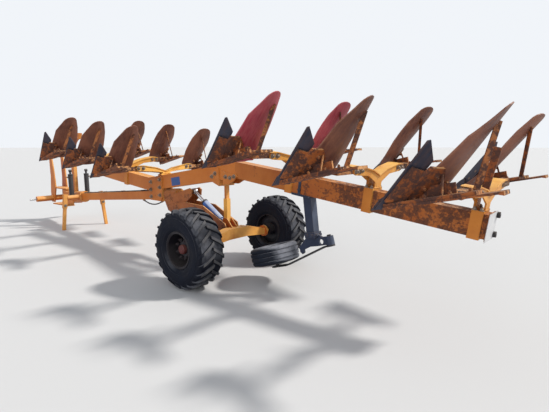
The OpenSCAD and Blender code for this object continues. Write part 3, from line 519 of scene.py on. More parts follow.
# %% Bare metals
def plain_metal(name, low, high, rough, metallic, scale):
    finish, tree, surface = new_finish(name)
    cloud = ramp_between(tree, noise(tree, scale, 6.0, 0.65), 0.35, 0.7)
    wire(tree, blend_colours(tree, cloud, low, high), surface.inputs["Base Color"])
    wire(tree, ramp_between(tree, cloud, 0.0, 1.0, rough, rough + 0.15), surface.inputs["Roughness"])
    surface.inputs["Metallic"].default_value = metallic
    bump_from(tree, surface, noise(tree, 160.0, 2.0, 0.5), 0.08, 0.0004)
    return finish


bright_steel = plain_metal("bright_steel", (0.62, 0.63, 0.65), (0.50, 0.49, 0.49), 0.22, 1.0, 20.0)
zinc_steel = plain_metal("zinc_steel", (0.30, 0.24, 0.19), (0.17, 0.105, 0.07), 0.46, 0.6, 30.0)
worn_steel = plain_metal("worn_steel", (0.19, 0.11, 0.075), (0.10, 0.065, 0.05), 0.36, 0.5, 40.0)
print("finishes", len(bpy.data.materials))

# %% [markdown]
# Every CAD node keeps its shape and only takes a finish. A table of finishes and nodes is easier to
# check than a line for each node: the print shows whether one was left out.

# %% Dress the nodes
dress = {
    orange_paint: ["draw_beam", "pivot_block", "front_beam", "middle_beam", "knee_bracket", "front_block",
                   "hose_mast", "headstock", "prop_bar"],
    carriage_paint: ["carriage_head", "lift_arm"],
    axle_paint: ["axle"],
    mottled_paint: ["rear_beam", "end_cap"],
    leg_paint: ["saddles_front", "saddles_rear"],
    sunlit_prop_paint: ["prop_tube"],
    stand_paint: ["stand_tubes", "stand_leg_near", "stand_leg_far"],
    rusty_steel: ["frogs_front", "frogs_rear", "landsides_front", "landsides_rear", "skimmer_stem"],
    brown_board: ["boards_front", "boards_rear"],
    red_board: ["boards_red"],
    share_steel: ["shares_front", "shares_rear"],
    tyre_rubber: ["tyre_near", "tyre_far"],
    gauge_rubber: ["gauge_tyre"],
    hose_rubber: ["frame_hose"],
    rim_paint: ["rim_near", "rim_far", "gauge_rim"],
    blue_paint: ["gauge_clamp", "gauge_leg"],
    black_paint: ["gauge_arm", "turning_cylinders"],
    cylinder_paint: ["lift_barrel"],
    white_board: ["marker_board"],
    bright_steel: ["lift_rod", "link_pins"],
}
for finish, names in dress.items():
    for name in names:
        nodes[name].data.materials.clear()
        nodes[name].data.materials.append(finish)
dressed = {name for names in dress.values() for name in names}
print("dressed", len(dressed), "of", len(nodes), "left", sorted(set(nodes) - dressed))

# %% [markdown]
# The small pieces are modelled as by hand: a primitive is added, its faces are selected by their
# normals, and they are inset and moved in edit mode. What repeats is modelled once as a pattern.
# Copies of its mesh are turned to where they belong and joined into one piece for each body of the
# mechanism, since what is bolted to a body moves with it. Linked copies would be lighter, but each
# piece has to carry its own mesh.


# %% Modelling helpers
def deselect():
    bpy.ops.object.select_all(action="DESELECT")


def pick(piece):
    deselect()
    piece.select_set(True)
    bpy.context.view_layer.objects.active = piece


def apply_place():
    bpy.ops.object.transform_apply(location=True, rotation=True, scale=True)


def joined(first, second):
    pick(first)
    second.select_set(True)
    bpy.ops.object.join()
    apply_place()
    return first


def top(normal):
    return normal.z > 0.9


def both_ends(normal):
    return abs(normal.z) > 0.9


def everywhere(normal):
    return True


# %% Steps in edit mode
def select_faces(piece, wanted):
    """Selects the faces whose normal passes a test, in object mode."""
    mesh = piece.data
    for group in (mesh.vertices, mesh.edges, mesh.polygons):
        for item in group:
            item.select = False
    for face in mesh.polygons:
        face.select = wanted(face.normal)


def in_edit(piece, wanted, *steps):
    """Runs steps in edit mode on the wanted faces."""
    select_faces(piece, wanted)
    pick(piece)
    bpy.ops.object.mode_set(mode="EDIT")
    bpy.ops.mesh.select_mode(type="FACE")
    for step in steps:
        step()
    bpy.ops.object.mode_set(mode="OBJECT")


def inset(thickness):
    return lambda: bpy.ops.mesh.inset(thickness=thickness)


def raise_by(height):
    return lambda: bpy.ops.transform.translate(value=(0, 0, height))


def resize(*factors):
    return lambda: bpy.ops.transform.resize(value=factors)


def round_edges(offset):
    return lambda: bpy.ops.mesh.bevel(offset=offset, segments=2)


def turned_pattern(vertices, radius, depth, height, wanted, *steps):
    """A cylinder with its middle at a height on the Z axis, shaped by steps on its wanted faces."""
    deselect()
    middle = (0, 0, height)
    bpy.ops.mesh.primitive_cylinder_add(vertices=vertices, radius=radius, depth=depth, location=middle)
    piece = bpy.context.object
    in_edit(piece, wanted, *steps)
    apply_place()
    return piece


# %% Pieces from patterns
def aim(direction):
    """Rotation that turns the Z axis to a direction."""
    return Vector(direction).to_track_quat("Z", "Y").to_matrix().to_4x4()


def copies(pattern, name, matrices):
    """Copies of a pattern's mesh, joined into one new piece."""
    made = []
    for matrix in matrices:
        one = bpy.data.objects.new(name, pattern.data.copy())
        bpy.context.scene.collection.objects.link(one)
        one.data.transform(matrix)
        made.append(one)
    deselect()
    for one in made:
        one.select_set(True)
    bpy.context.view_layer.objects.active = made[0]
    if len(made) > 1:
        bpy.ops.object.join()
    made[0].name = name
    return made[0]


def finish_piece(piece, body, finish, smooth=32):
    """Gives a piece its shading, its finish and the body that it rides on."""
    pick(piece)
    apply_place()
    bpy.ops.object.shade_smooth_by_angle(angle=math.radians(smooth))
    piece.data.materials.clear()
    piece.data.materials.append(finish)
    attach(piece, body)


def add_copies(pattern, name, matrices, body, finish, smooth=32):
    finish_piece(copies(pattern, name, matrices), body, finish, smooth)


def seat(point, direction, size):
    """Matrix for a pattern of this size in metres, on a point, looking along a direction."""
    return Matrix.Translation(point) @ aim(direction) @ Matrix.Scale(size, 4)


def local_seat(frame_here, point, direction, size):
    """The same, with the point and the direction given in a local frame of millimetres."""
    ahead = (frame_here.to_3x3() @ Vector(direction)).normalized()
    return seat(frame_here @ Vector(point), ahead, size)


def put_away(*patterns):
    for pattern in patterns:
        bpy.data.objects.remove(pattern)


# %% [markdown]
# A bolt head is a six-sided cylinder on a round washer, and the top of each is inset and raised for
# its chamfer. A nut is the same head with the bolt's end standing out of it. Both are one metre
# across their flats, so that a seat's size in metres gives the real size.


# %% Patterns: bolt head and nut
def bolt_pattern():
    head = turned_pattern(6, 0.577, 0.62, 0.40, top, inset(0.09), raise_by(0.07))
    washer = turned_pattern(16, 0.88, 0.13, 0.045, top, inset(0.05), raise_by(0.03))
    return joined(head, washer)


bolt = bolt_pattern()
nut = joined(bolt_pattern(), turned_pattern(12, 0.31, 0.36, 0.86, top, inset(0.06), raise_by(0.04)))
print("bolt", len(bolt.data.polygons), "faces, nut", len(nut.data.polygons))

# %% [markdown]
# A pipe union is a six-sided collar with a sleeve. A plough bolt sits almost flush in the wear
# steel, so that only a low round head with a hollow shows. A weld is laid as a row of overlapping
# ripples. It could be a swept bead, but one ripple with rounded ends shows the welder's rhythm, and
# a seam is many copies of it.

# %% Patterns: pipe union, plough bolt and weld ripple
UNION_STRETCH = 1.3
RIPPLE_STEP = 0.62
union = joined(turned_pattern(6, 0.60, 0.55, 0.35, both_ends, inset(0.10), resize(1, 1, UNION_STRETCH)),
               turned_pattern(20, 0.42, 1.2, 0.8, top, inset(0.06), raise_by(0.05)))
flush = turned_pattern(20, 0.5, 0.10, 0, top, inset(0.07), raise_by(0.04), inset(0.16), raise_by(-0.03))
ripple = turned_pattern(10, 0.5, 0.8, 0, both_ends, round_edges(0.22))


def seam(frame_here, start, end, size):
    """Matrices for the ripples of a weld between two points of a local frame in millimetres."""
    first, last = frame_here @ Vector(start), frame_here @ Vector(end)
    run = last - first
    count = max(2, round(run.length / (size * RIPPLE_STEP)))
    turn_to = aim(run)
    middles = [first + run * (i + 0.5) / count for i in range(count)]
    return [Matrix.Translation(middle) @ turn_to @ Matrix.Scale(size, 4) for middle in middles]


print("faces of union, plough bolt and ripple", [len(one.data.polygons) for one in (union, flush, ripple)])

# %% [markdown]
# Bolts of the legs. Each leg's arms are held between the saddle's two cheeks by two bolts a side,
# with the heads in front and the nuts behind, and the strap round the beam is drawn up by nuts on
# the foot. The saddle over the pivot block has no strap of its own. All of them could be placed by
# eye, but in the saddle's frame the two ends of a bolt are on one line whatever the beam's slope.

# %% Leg bolts
CHEEK_FACE = 44.0
LEG_BOLTS_OUT = (355.0, 428.0)
LEG_BOLT = 0.030
BEAM_H = 190.0
FOOT_TOP = BEAM_H / 2 + 20.3
STRAP_NUTS_ALONG = (-24.0, 24.0)
STRAP_NUTS_OUT = 82.0
STRAP_NUT = 0.024
heads, leg_nuts = [], []
for tip in all_tips:
    here, up = saddle_frame(tip)
    strap_nuts = STRAP_NUTS_ALONG if tip is not all_tips[0] else ()
    for side in (-1, 1):
        for out in LEG_BOLTS_OUT:
            heads.append(local_seat(here, (-CHEEK_FACE, side * out, up), (-1, 0, 0), LEG_BOLT))
            leg_nuts.append(local_seat(here, (CHEEK_FACE, side * out, up), (1, 0, 0), LEG_BOLT))
        for along in strap_nuts:
            place = (along, side * STRAP_NUTS_OUT, FOOT_TOP)
            leg_nuts.append(local_seat(here, place, (0, 0, 1), STRAP_NUT))
add_copies(bolt, "leg_bolt_heads", heads, "frame", zinc_steel)
add_copies(nut, "leg_bolt_nuts", leg_nuts, "frame", zinc_steel)
print("leg bolts", len(heads), "nuts", len(leg_nuts))

# %% [markdown]
# The saddle's two cheeks are welded to its foot plate and to its arms. A seam could be a bump in the
# paint, but rows of ripples catch the light from every side. They lie a millimetre above the plates
# that they join, so that they show.

# %% Saddle welds
FOOT_WELD, FOOT_BEAD = 58, 0.010
ARM_WELD, ARM_BEAD = (160, 348), 0.008
ARM_RISE = 29
seams = []
for tip in all_tips:
    here, up = saddle_frame(tip)
    for face in (-CHEEK_FACE, CHEEK_FACE):
        low = FOOT_TOP + 1
        seams += seam(here, (face, -FOOT_WELD, low), (face, FOOT_WELD, low), FOOT_BEAD)
        for side in (-1, 1):
            ends = [(face, side * out, up + 1 + rise) for out, rise in zip(ARM_WELD, (0, ARM_RISE))]
            seams += seam(here, *ends, ARM_BEAD)
add_copies(ripple, "saddle_welds", seams, "frame", leg_paint, smooth=50)
print("ripples", len(seams))

# %% [markdown]
# Behind each share, mouldboard and landside the frog shows the nuts of their plough bolts, and
# their faces show the flush heads. The mouldboard is hollow, so a point on it can't be read off a
# flat drawing: it is worked out on the same twisted cylinder that the source cuts the board from.

# %% Places on a mouldboard
BOARD_R = 330.0
HOLLOW = (200.0, 335.0, 140.0)
TWIST = math.radians(10.0)
SEAM_H = 85.0


def on_board(reach, height):
    """A point of the mouldboard's hollow face, in its edge frame, and the direction to its back."""
    across = ((height - HOLLOW[1]) + (reach - HOLLOW[0]) * math.tan(TWIST)) * math.cos(TWIST)
    sink = math.sqrt(BOARD_R ** 2 - across ** 2)
    inward = Vector((0, across / BOARD_R, -sink / BOARD_R))
    inward.rotate(Matrix.Rotation(-TWIST, 3, "Z"))
    return Vector((reach, height, HOLLOW[2] - sink)), inward


share_lean = math.atan2(-on_board(HOLLOW[0], SEAM_H)[0].z, SEAM_H)
print("share leans", round(math.degrees(share_lean), 1), "degrees against the board")

# %% Frog nuts and plough bolts
PLATE_BACK = 24.6
BOARD_BACK = 8.8
BOARD_BOLTS = [(195, 125, PLATE_BACK), (290, 120, PLATE_BACK), (400, 122, PLATE_BACK),
               (245, 228, BOARD_BACK), (372, 250, BOARD_BACK)]
SHARE_BOLTS, SHARE_BOLT_H = (175, 262, 350, 430), 74
SHANK_NUTS = [(170, 50), (330, 50), (480, 60), (600, 60)]
SHANK_TOP = 22.2
LANDSIDE_BOLTS, LANDSIDE_IN, LANDSIDE_FACE = (160, 330, 500, 690), 78, -14.0
FROG_NUT, PLOUGH_BOLT = 0.022, 0.026
frog_nuts, face_bolts = [], []
for tip in all_tips:
    for side in (-1, 1):
        here = edge_frame(tip, side)
        for reach, height, back in BOARD_BOLTS:
            face, inward = on_board(reach, height)
            frog_nuts.append(local_seat(here, face + inward * back, inward, FROG_NUT))
            face_bolts.append(local_seat(here, face, -inward, PLOUGH_BOLT))
        share_here = here @ Matrix.Rotation(-share_lean, 4, "X")
        for reach in SHARE_BOLTS:
            face_bolts.append(local_seat(share_here, (reach, SHARE_BOLT_H, 0), (0, 0, 1), PLOUGH_BOLT))
        here = body_frame(tip, side)
        for back, inner in SHANK_NUTS:
            frog_nuts.append(local_seat(here, (back, inner, SHANK_TOP), (0, 0, 1), FROG_NUT))
        for back in LANDSIDE_BOLTS:
            face_bolts.append(local_seat(here, (back, LANDSIDE_IN, LANDSIDE_FACE), (0, 0, -1), PLOUGH_BOLT))
add_copies(nut, "frog_nuts", frog_nuts, "frame", rusty_steel)
add_copies(flush, "plough_bolts", face_bolts, "frame", worn_steel)
print("frog nuts", len(frog_nuts), "plough bolts", len(face_bolts))

# %% [markdown]
# A ring is the outline of its section, swept once round the Z axis by spin. A torus would only give
# a round section, while a rim's lip and a tyre's rib are flat with soft corners. The last step
# meets the first, so its doubles are merged and its normals made to point outwards.

# %% Pattern: ring
SOFT_CORNER = 0.3
MERGE_WITHIN = 0.00005


def ring_pattern(radius, deep, wide, steps=96):
    """A ring about Z: radius to the middle of its section, deep across the radius, wide along Z."""
    deselect()
    bpy.ops.mesh.primitive_plane_add(size=1, location=(radius, 0, 0), rotation=(math.pi / 2, 0, 0))
    ring = bpy.context.object
    ring.scale = (deep, wide, 1)
    apply_place()
    in_edit(ring, everywhere,
            lambda: bpy.ops.mesh.bevel(offset=SOFT_CORNER * min(deep, wide), segments=2, affect="VERTICES"),
            lambda: bpy.ops.mesh.delete(type="ONLY_FACE"),
            lambda: bpy.ops.mesh.select_mode(type="EDGE"),
            lambda: bpy.ops.mesh.select_all(action="SELECT"),
            lambda: bpy.ops.mesh.spin(steps=steps, angle=math.tau, center=(0, 0, 0), axis=(0, 0, 1)),
            lambda: bpy.ops.mesh.select_all(action="SELECT"),
            lambda: bpy.ops.mesh.remove_doubles(threshold=MERGE_WITHIN),
            lambda: bpy.ops.mesh.normals_make_consistent(inside=False))
    return ring


rib_low = ring_pattern(0.262, 0.007, 0.006)
rib_high = ring_pattern(0.346, 0.006, 0.005)
lip = ring_pattern(0.1985, 0.013, 0.012)
cap = turned_pattern(40, 0.052, 0.030, 0.015, top,
                     inset(0.006), raise_by(0.010), inset(0.016), raise_by(0.006))
print("rings", len(rib_low.data.polygons), "faces each, hub cap", len(cap.data.polygons))

# %% [markdown]
# Wheels. A carriage wheel is held by eight nuts on the sloping face of its disc, with a pressed cap
# over the end of its hub. Each rim has a rolled lip on both sides, and each side wall two ribs.
# The nuts could be an array of one, but a seat that is worked out for each also gives it the slope
# of the disc. All of these ride on the wheel, so that they spin with it.

# %% Carriage wheels
WHEEL_Y = 717.5
AXLE_Z = 437.0
WHEEL_NUTS, NUT_RING_R, WHEEL_NUT = 8, 0.102, 0.026
HUB_FACE = 0.060
DISC_FACE = 0.0673
DISC_SLOPE = math.atan2(15.0, 35.0)
LIP_OUT, RIB_LOW_OUT, RIB_HIGH_OUT = 0.140, 0.1669, 0.1690


def both_sides(middle, out):
    """Matrices for a ring on both sides of a wheel."""
    return [Matrix.Translation(middle + Vector((0, y, 0))) @ aim((0, 1, 0)) for y in (-out, out)]


for side, body in ((-1, "wheel_near"), (1, "wheel_far")):
    middle = at(0, side * WHEEL_Y, AXLE_Z)
    ring = []
    for i in range(WHEEL_NUTS):
        angle = math.tau * (i + 0.5) / WHEEL_NUTS
        spoke = Vector((math.cos(angle), 0, math.sin(angle)))
        outward = spoke * math.sin(DISC_SLOPE) + Vector((0, side * math.cos(DISC_SLOPE), 0))
        ring.append(seat(middle + spoke * NUT_RING_R + Vector((0, side * DISC_FACE, 0)), outward, WHEEL_NUT))
    add_copies(nut, body + "_nuts", ring, body, rim_paint)
    cap_seat = seat(middle + Vector((0, side * HUB_FACE, 0)), (0, side, 0), 1)
    add_copies(cap, body + "_cap", [cap_seat], body, cap_paint, smooth=40)
    add_copies(lip, body + "_rim_lips", both_sides(middle, LIP_OUT), body, rim_paint, smooth=50)
    ribs = [copies(pattern, body + "_side_ribs", both_sides(middle, out))
            for pattern, out in ((rib_low, RIB_LOW_OUT), (rib_high, RIB_HIGH_OUT))]
    finish_piece(joined(*ribs), body, tyre_rubber, smooth=50)
    print(body, "nuts", len(ring))
put_away(rib_low, rib_high, lip)

# %% [markdown]
# The small depth wheel lies almost flat under the beam. It has the same cap at a smaller size, and
# five nuts round its hub on both of its faces.

# %% Depth wheel's hub
GAUGE_HUB = (620.0, 336.0)
GAUGE_TILT = math.radians(17.0)
SMALL_NUTS, SMALL_RING_R, SMALL_DISC, SMALL_NUT = 5, 82, 19.8, 0.019
SMALL_HUB_FACE, SMALL_CAP = 60.2, 0.72
wheel_plane = frame_at(*GAUGE_HUB, GAUGE_TILT)
small_nuts = []
for i in range(SMALL_NUTS):
    angle = math.tau * i / SMALL_NUTS
    across = (SMALL_RING_R * math.cos(angle), SMALL_RING_R * math.sin(angle))
    for way in (-1, 1):
        small_nuts.append(local_seat(wheel_plane, (*across, way * SMALL_DISC), (0, 0, way), SMALL_NUT))
add_copies(nut, "gauge_wheel_nuts", small_nuts, "gauge_wheel", zinc_steel)
small_cap = local_seat(wheel_plane, (0, 0, SMALL_HUB_FACE), (0, 0, 1), SMALL_CAP)
add_copies(cap, "gauge_wheel_cap", [small_cap], "gauge_wheel", rim_paint, smooth=40)
put_away(cap)
print("depth wheel nuts", len(small_nuts))

# %% [markdown]
# The joints of the frame are drawn up by large bolts, through the pivot block's cheeks and the knee
# bracket's gussets. The bracket is square to the sloping turnover axis, so its bolts would be hard to
# place on the drawing. They are placed in the bracket's own frame, where they lie flat on its plate.

# %% Frame bolts
DRAWING = Matrix.Translation(at(0, 0, 0)) @ Matrix.Scale(0.001, 4)
PROP_FOOT_X = -160.0
PROP_HEAD_Z = 1115.0
PIVOT_FACE, PIVOT_BOLT = 91.0, 0.034
PIVOT_BOLTS = [(-1690, 800), (-1690, 905), (-1465, 838), (-1465, 950), (-1690, 1015), (-1465, 1062)]
GUSSET_FACE, GUSSET_BOLT = 89.0, 0.030
HEAD_DROP, HEAD_FRONT, HEAD_REAR = 30, 48, 28
knee_up = PROP_HEAD_Z - axis_z(PROP_FOOT_X)
knee_frame = frame_at(PROP_FOOT_X, axis_z(PROP_FOOT_X), AXIS_SLOPE)
lean = (knee_up - HEAD_DROP) * math.sin(AXIS_SLOPE)
knee_front, knee_rear = lean - HEAD_FRONT, lean + HEAD_REAR
knee_bolts = [(knee_front - 50, 96), (knee_front - 112, 62), (knee_rear + 60, 48), (knee_rear + 135, 32),
              (knee_rear + 205, 44)]
frame_bolts = []
for side in (-1, 1):
    for x, z in PIVOT_BOLTS:
        frame_bolts.append(local_seat(DRAWING, (x, side * PIVOT_FACE, z), (0, side, 0), PIVOT_BOLT))
    for x, up in knee_bolts:
        place = (x, side * GUSSET_FACE, knee_up + up)
        frame_bolts.append(local_seat(knee_frame, place, (0, side, 0), GUSSET_BOLT))
add_copies(nut, "frame_bolts", frame_bolts, "frame", zinc_steel)
print("frame bolts", len(frame_bolts))

# %% [markdown]
# The depth wheel's leg hangs from a strap round the rear beam and slants down to the rear, and a
# collar near its foot holds the wheel's bracket. The collar has bolts on all four faces, and the
# strap one on each side. The collar's bolts are set in the leg's frame and the strap's in the
# beam's, because the two slope differently.

# %% Depth wheel's leg
GAUGE_TOP_X = 1072.0
LEG_LEAN = math.radians(7.5)
COLLAR_FACE, COLLAR_DOWN, COLLAR_APART, COLLAR_BOLT = 61.4, -510, 32, 0.026
STRAP_BOLT_AT, STRAP_BOLT = (-50, 85.2, -50), 0.022
leg_frame = frame_at(GAUGE_TOP_X, beam_z(GAUGE_TOP_X), LEG_LEAN)
strap_frame = frame_at(GAUGE_TOP_X, beam_z(GAUGE_TOP_X), -REAR_FALL)
leg_bolts = []
for side in (-1, 1):
    for x in (-COLLAR_APART, COLLAR_APART):
        place = (x, side * COLLAR_FACE, COLLAR_DOWN)
        leg_bolts.append(local_seat(leg_frame, place, (0, side, 0), COLLAR_BOLT))
    for way in (1, -1):
        place = (way * COLLAR_FACE, side * COLLAR_APART, COLLAR_DOWN)
        leg_bolts.append(local_seat(leg_frame, place, (way, 0, 0), COLLAR_BOLT))
    place = Vector(STRAP_BOLT_AT) * Vector((1, side, 1))
    leg_bolts.append(local_seat(strap_frame, place, (0, side, 0), STRAP_BOLT))
add_copies(bolt, "depth_wheel_bolts", leg_bolts, "frame", blue_paint)
print("leg bolts", len(leg_bolts))

# %% [markdown]
# Hydraulics. A cylinder has a gland ring where its rod comes out, and two ports along its barrel,
# each with a pipe union. The lift cylinder slopes in the middle plane, so its ports are set square
# to it. The two turning cylinders stand upright.

# %% Lift cylinder
RAM_TOP, RAM_FOOT = Vector((-800.0, 0, 940.0)), Vector((-250.0, 0, 600.0))
RAM_R, RAM_GLAND, RAM_PORTS, RAM_PORT = 40, 394, (75, 355), 0.030
gland = ring_pattern(0.0345, 0.022, 0.030, steps=48)
ram_way = (RAM_TOP - RAM_FOOT).normalized()
ram_up = Vector((0, -1, 0)).cross(ram_way).normalized()
gland_seat = Matrix.Translation(DRAWING @ (RAM_FOOT + ram_way * RAM_GLAND)) @ aim(ram_way)
ports = [local_seat(DRAWING, RAM_FOOT + ram_way * along + ram_up * RAM_R, ram_up, RAM_PORT)
         for along in RAM_PORTS]
add_copies(gland, "lift_gland", [gland_seat], "lift_barrel", black_paint, smooth=50)
add_copies(union, "lift_ports", ports, "lift_barrel", zinc_steel)
print("lift cylinder ports", len(ports))

# %% Turning cylinders
TURNING_PLACE = (-4330.0, 147.3)
TURNING_R, TURNING_GLAND, TURNING_PORTS, TURNING_PORT = 40, 994, (600, 950), 0.028
front_glands, front_ports = [], []
for side in (-1, 1):
    foot = Vector((TURNING_PLACE[0], side * TURNING_PLACE[1], 0))
    front_glands.append(Matrix.Translation(DRAWING @ (foot + Vector((0, 0, TURNING_GLAND)))))
    for z in TURNING_PORTS:
        place = foot + Vector((0, side * TURNING_R, z))
        front_ports.append(local_seat(DRAWING, place, (0, side, 0), TURNING_PORT))
add_copies(gland, "turning_glands", front_glands, "front_block", black_paint, smooth=50)
add_copies(union, "turning_ports", front_ports, "front_block", zinc_steel)
put_away(gland)
print("turning cylinder ports", len(front_ports))

# %% [markdown]
# The frame hose is held at both ends and hangs in a shallow bow between them, which is an arc of a
# circle here. Each end has a crimped sleeve that looks along the hose, so the arc's end directions
# are worked out from its span and its sag.

# %% Hose sleeves
DRAW_HALF = 62.5
HOSE_SAG = 62.0
SLEEVE_SIZE, SLEEVE_OUT = 0.030, 2
hose_from = Vector((-2000.0, -40.0, axis_z(-2000.0) - DRAW_HALF))
hose_to = Vector((-1480.0, -40.0, 750.0))
span = (hose_to - hose_from).length
bend_radius = span ** 2 / (8 * HOSE_SAG) + HOSE_SAG / 2
half_turn = math.asin(span / 2 / bend_radius)
tilt = math.atan2(hose_to.z - hose_from.z, hose_to.x - hose_from.x)
leave = Vector((math.cos(tilt - half_turn), 0, math.sin(tilt - half_turn)))
arrive = Vector((-math.cos(tilt + half_turn), 0, -math.sin(tilt + half_turn)))
sleeves = [local_seat(DRAWING, end + way * SLEEVE_OUT, way, SLEEVE_SIZE)
           for end, way in ((hose_from, leave), (hose_to, arrive))]
add_copies(union, "hose_sleeves", sleeves, "frame", zinc_steel)
print("hose", round(2 * half_turn * bend_radius), "mm long")

# %% [markdown]
# Two steel pipes run along the top of the draw beam to feed the cylinders. A pipe is a long thin
# cylinder whose ends are drawn in like a flared joint, held by pressed clips and closed by a union at
# each end. A curve with a bevel would do as well, but the ends would have to be closed by hand.

# %% Draw beam pipes
PIPE_FROM, PIPE_LONG = 70, 2.26
PIPE_R, PIPE_WALL = 0.007, 0.0015
PIPES_Y = (-22, 22)
PIPE_UP, CLIP_UP = DRAW_HALF + 9, DRAW_HALF + 10
CLIP_SIZE, CLIP_EDGE = (0.034, 0.082, 0.022), 0.004
CLIPS_ALONG = (180, 800, 1420, 2040)
UNIONS_ALONG, UNION_SIZE = ((84, -1), (2316, 1)), 0.024


def block_pattern(size, edge):
    """A block of this size with rounded edges."""
    deselect()
    bpy.ops.mesh.primitive_cube_add(size=1, location=(0, 0, 0))
    block = bpy.context.object
    block.scale = size
    apply_place()
    in_edit(block, everywhere, round_edges(edge))
    return block


beam_frame = frame_at(-4100, axis_z(-4100), AXIS_SLOPE)
pipe = turned_pattern(16, PIPE_R, PIPE_LONG, PIPE_LONG / 2, both_ends, inset(PIPE_WALL),
                      lambda: bpy.ops.mesh.extrude_region_move(), resize(0.8, 0.8, 1))
clip = block_pattern(CLIP_SIZE, CLIP_EDGE)
pipes = [local_seat(beam_frame, (PIPE_FROM, y, PIPE_UP), (1, 0, 0), 1) for y in PIPES_Y]
clips = [Matrix.Translation(beam_frame @ Vector((along, 0, CLIP_UP))) @ turned_y(AXIS_SLOPE)
         for along in CLIPS_ALONG]
unions = [local_seat(beam_frame, (x, y, PIPE_UP), (way, 0, 0), UNION_SIZE)
          for y in PIPES_Y for x, way in UNIONS_ALONG]
add_copies(pipe, "draw_beam_pipes", pipes, "frame", black_paint)
add_copies(clip, "pipe_clips", clips, "frame", zinc_steel)
add_copies(union, "pipe_unions", unions, "frame", zinc_steel)
put_away(pipe, clip)
print("pipes", len(pipes), "clips", len(clips), "unions", len(unions))

# %% [markdown]
# A plain blue field is painted on the near side of the middle beam. It is a thin plate with
# rounded edges rather than a patch in the beam's material, so that its border stays sharp.

# %% Blue field
BEAM_W = 150.0
FIELD_SIZE, FIELD_EDGE = (196.0, 1.2, 112.0), 0.5
FIELD_X = -1110.0
FIELD_PLACE = (0, -BEAM_W / 2 - 0.4, -20)
field = block_pattern(FIELD_SIZE, FIELD_EDGE)
field_frame = frame_at(FIELD_X, beam_z(FIELD_X), MIDDLE_RISE) @ Matrix.Translation(FIELD_PLACE)
add_copies(field, "blue_field", [field_frame], "frame", patch_paint)
put_away(field)
print("blue field", FIELD_SIZE[0], "by", FIELD_SIZE[2], "mm")

# %% [markdown]
# Each stand's leg is held by a pin through its tube, which shows a bolt head on both sides. The
# tubes lean outwards, and so does the frame that the pins are placed in: that keeps each head flat
# on its tube, where one placed on the upright drawing would have to be turned by hand.

# %% Stand pins
STAND_PLACE = (-4160.0, 400.0)
STAND_LEAN = math.radians(6)
PIN_FACE, PIN_UP, PIN_SIZE = 33.0, 455, 0.030
stand_pins = []
for side in (-1, 1):
    foot = Matrix.Translation(at(STAND_PLACE[0], side * STAND_PLACE[1], 0))
    tube = foot @ Matrix.Rotation(side * STAND_LEAN, 4, "X") @ Matrix.Scale(0.001, 4)
    for way in (1, -1):
        stand_pins.append(local_seat(tube, (way * PIN_FACE, 0, PIN_UP), (way, 0, 0), PIN_SIZE))
add_copies(bolt, "stand_pins", stand_pins, "front_block", zinc_steel)
print("stand pins", len(stand_pins))

# %% [markdown]
# The marker board at the rear end carries two small dark lamps on its edge. Each is a turned body
# with a lens let into its face, made like the hub cap by insets that are moved in and out.

# %% Marker lamps
END_X = 2760.0
LAMPS_AT = [(16.4, 108.0, -78.0), (16.4, 108.0, 78.0)]
lamp = turned_pattern(28, 0.024, 0.022, 0.011, top,
                      inset(0.004), raise_by(-0.004), inset(0.004), raise_by(0.006))
end_frame = frame_at(END_X, beam_z(END_X), -REAR_FALL)
lamps = [seat(end_frame @ Vector(place), (1, 0, 0), 1) for place in LAMPS_AT]
add_copies(lamp, "marker_lamps", lamps, "frame", black_paint)
put_away(lamp, bolt, nut, union, flush, ripple)
print("lamps", len(lamps))

# %% [markdown]
# The studio. A plain pale floor keeps the plough's shadow and shows nothing else. It is far larger
# than the plough, so that no view sees its rim.

# %% Floor
deselect()
bpy.ops.mesh.primitive_plane_add(size=600, location=(0, 0, 0))
floor = bpy.context.object
floor.name = "floor"
floor_finish, _, floor_surface = new_finish("pale_floor")
floor_surface.inputs["Base Color"].default_value = (0.60, 0.60, 0.61, 1)
floor_surface.inputs["Roughness"].default_value = 0.9
floor.data.materials.append(floor_finish)
print("floor", tuple(floor.dimensions))

# %% [markdown]
# The light is a soft sun from the rear and the far side, a very wide fill from the near side, and
# an even pale world. Light Path lets the camera, and what metal reflects, see a bright plain
# background without putting more light on the plough.

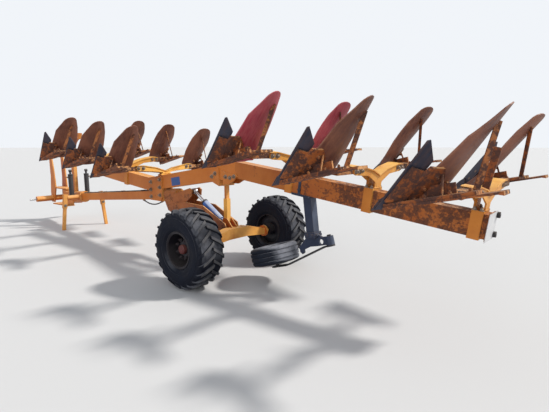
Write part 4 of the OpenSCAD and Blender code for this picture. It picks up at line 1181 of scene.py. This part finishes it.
# %% World
EVEN_LIGHT = 0.54
world = bpy.data.worlds.new("studio")
bpy.context.scene.world = world
world.use_nodes = True
sky = world.node_tree
sky.nodes.clear()
seen = add_node(sky, "ShaderNodeLightPath")
direct = math_node(sky, "MAXIMUM", seen.outputs["Is Camera Ray"], seen.outputs["Is Glossy Ray"])
direct = math_node(sky, "MAXIMUM", direct, seen.outputs["Is Transmission Ray"])
choice = add_node(sky, "ShaderNodeMixShader")
wire(sky, direct, choice.inputs[0])
for entry, colour, strength in ((1, (0.90, 0.95, 1.0, 1), EVEN_LIGHT), (2, (0.88, 0.91, 0.95, 1), 1.0)):
    background = add_node(sky, "ShaderNodeBackground")
    background.inputs["Color"].default_value = colour
    background.inputs["Strength"].default_value = strength
    wire(sky, background.outputs[0], choice.inputs[entry])
wire(sky, choice.outputs[0], add_node(sky, "ShaderNodeOutputWorld").inputs[0])
print("world", EVEN_LIGHT)


# %% Suns
def add_sun(name, direction, strength, spread, colour):
    light = bpy.data.lights.new(name, "SUN")
    light.energy = strength
    light.angle = math.radians(spread)
    light.color = colour
    sun = bpy.data.objects.new(name, light)
    bpy.context.scene.collection.objects.link(sun)
    sun.rotation_euler = Vector(direction).to_track_quat("-Z", "Y").to_euler()
    print(name, "energy", strength, "spread", spread)


add_sun("key_sun", (-0.50, -0.52, -0.69), 3.3, 6, (1.0, 0.965, 0.90))
add_sun("fill_sun", (-0.20, 1.0, -0.28), 1.05, 50, (0.97, 0.98, 1.0))

# %% [markdown]
# The camera stands behind the near rear corner at a grown-up's eye height, and its wide lens makes
# the tail large and the headstock small. Its place and turn were fitted to the even pitch of the
# bodies and to the tyres.

# %% Camera and view
camera_data = bpy.data.cameras.new("camera")
camera_data.lens = 26.13
camera_data.sensor_width = 36
camera = bpy.data.objects.new("camera", camera_data)
bpy.context.scene.collection.objects.link(camera)
camera.location = (4.670, -3.294, 1.541)
camera.rotation_euler = (math.radians(81.35), 0, math.radians(40.9))
bpy.context.scene.camera = camera
bpy.context.scene.view_settings.view_transform = "Standard"
print("camera", tuple(round(v, 2) for v in camera.location))
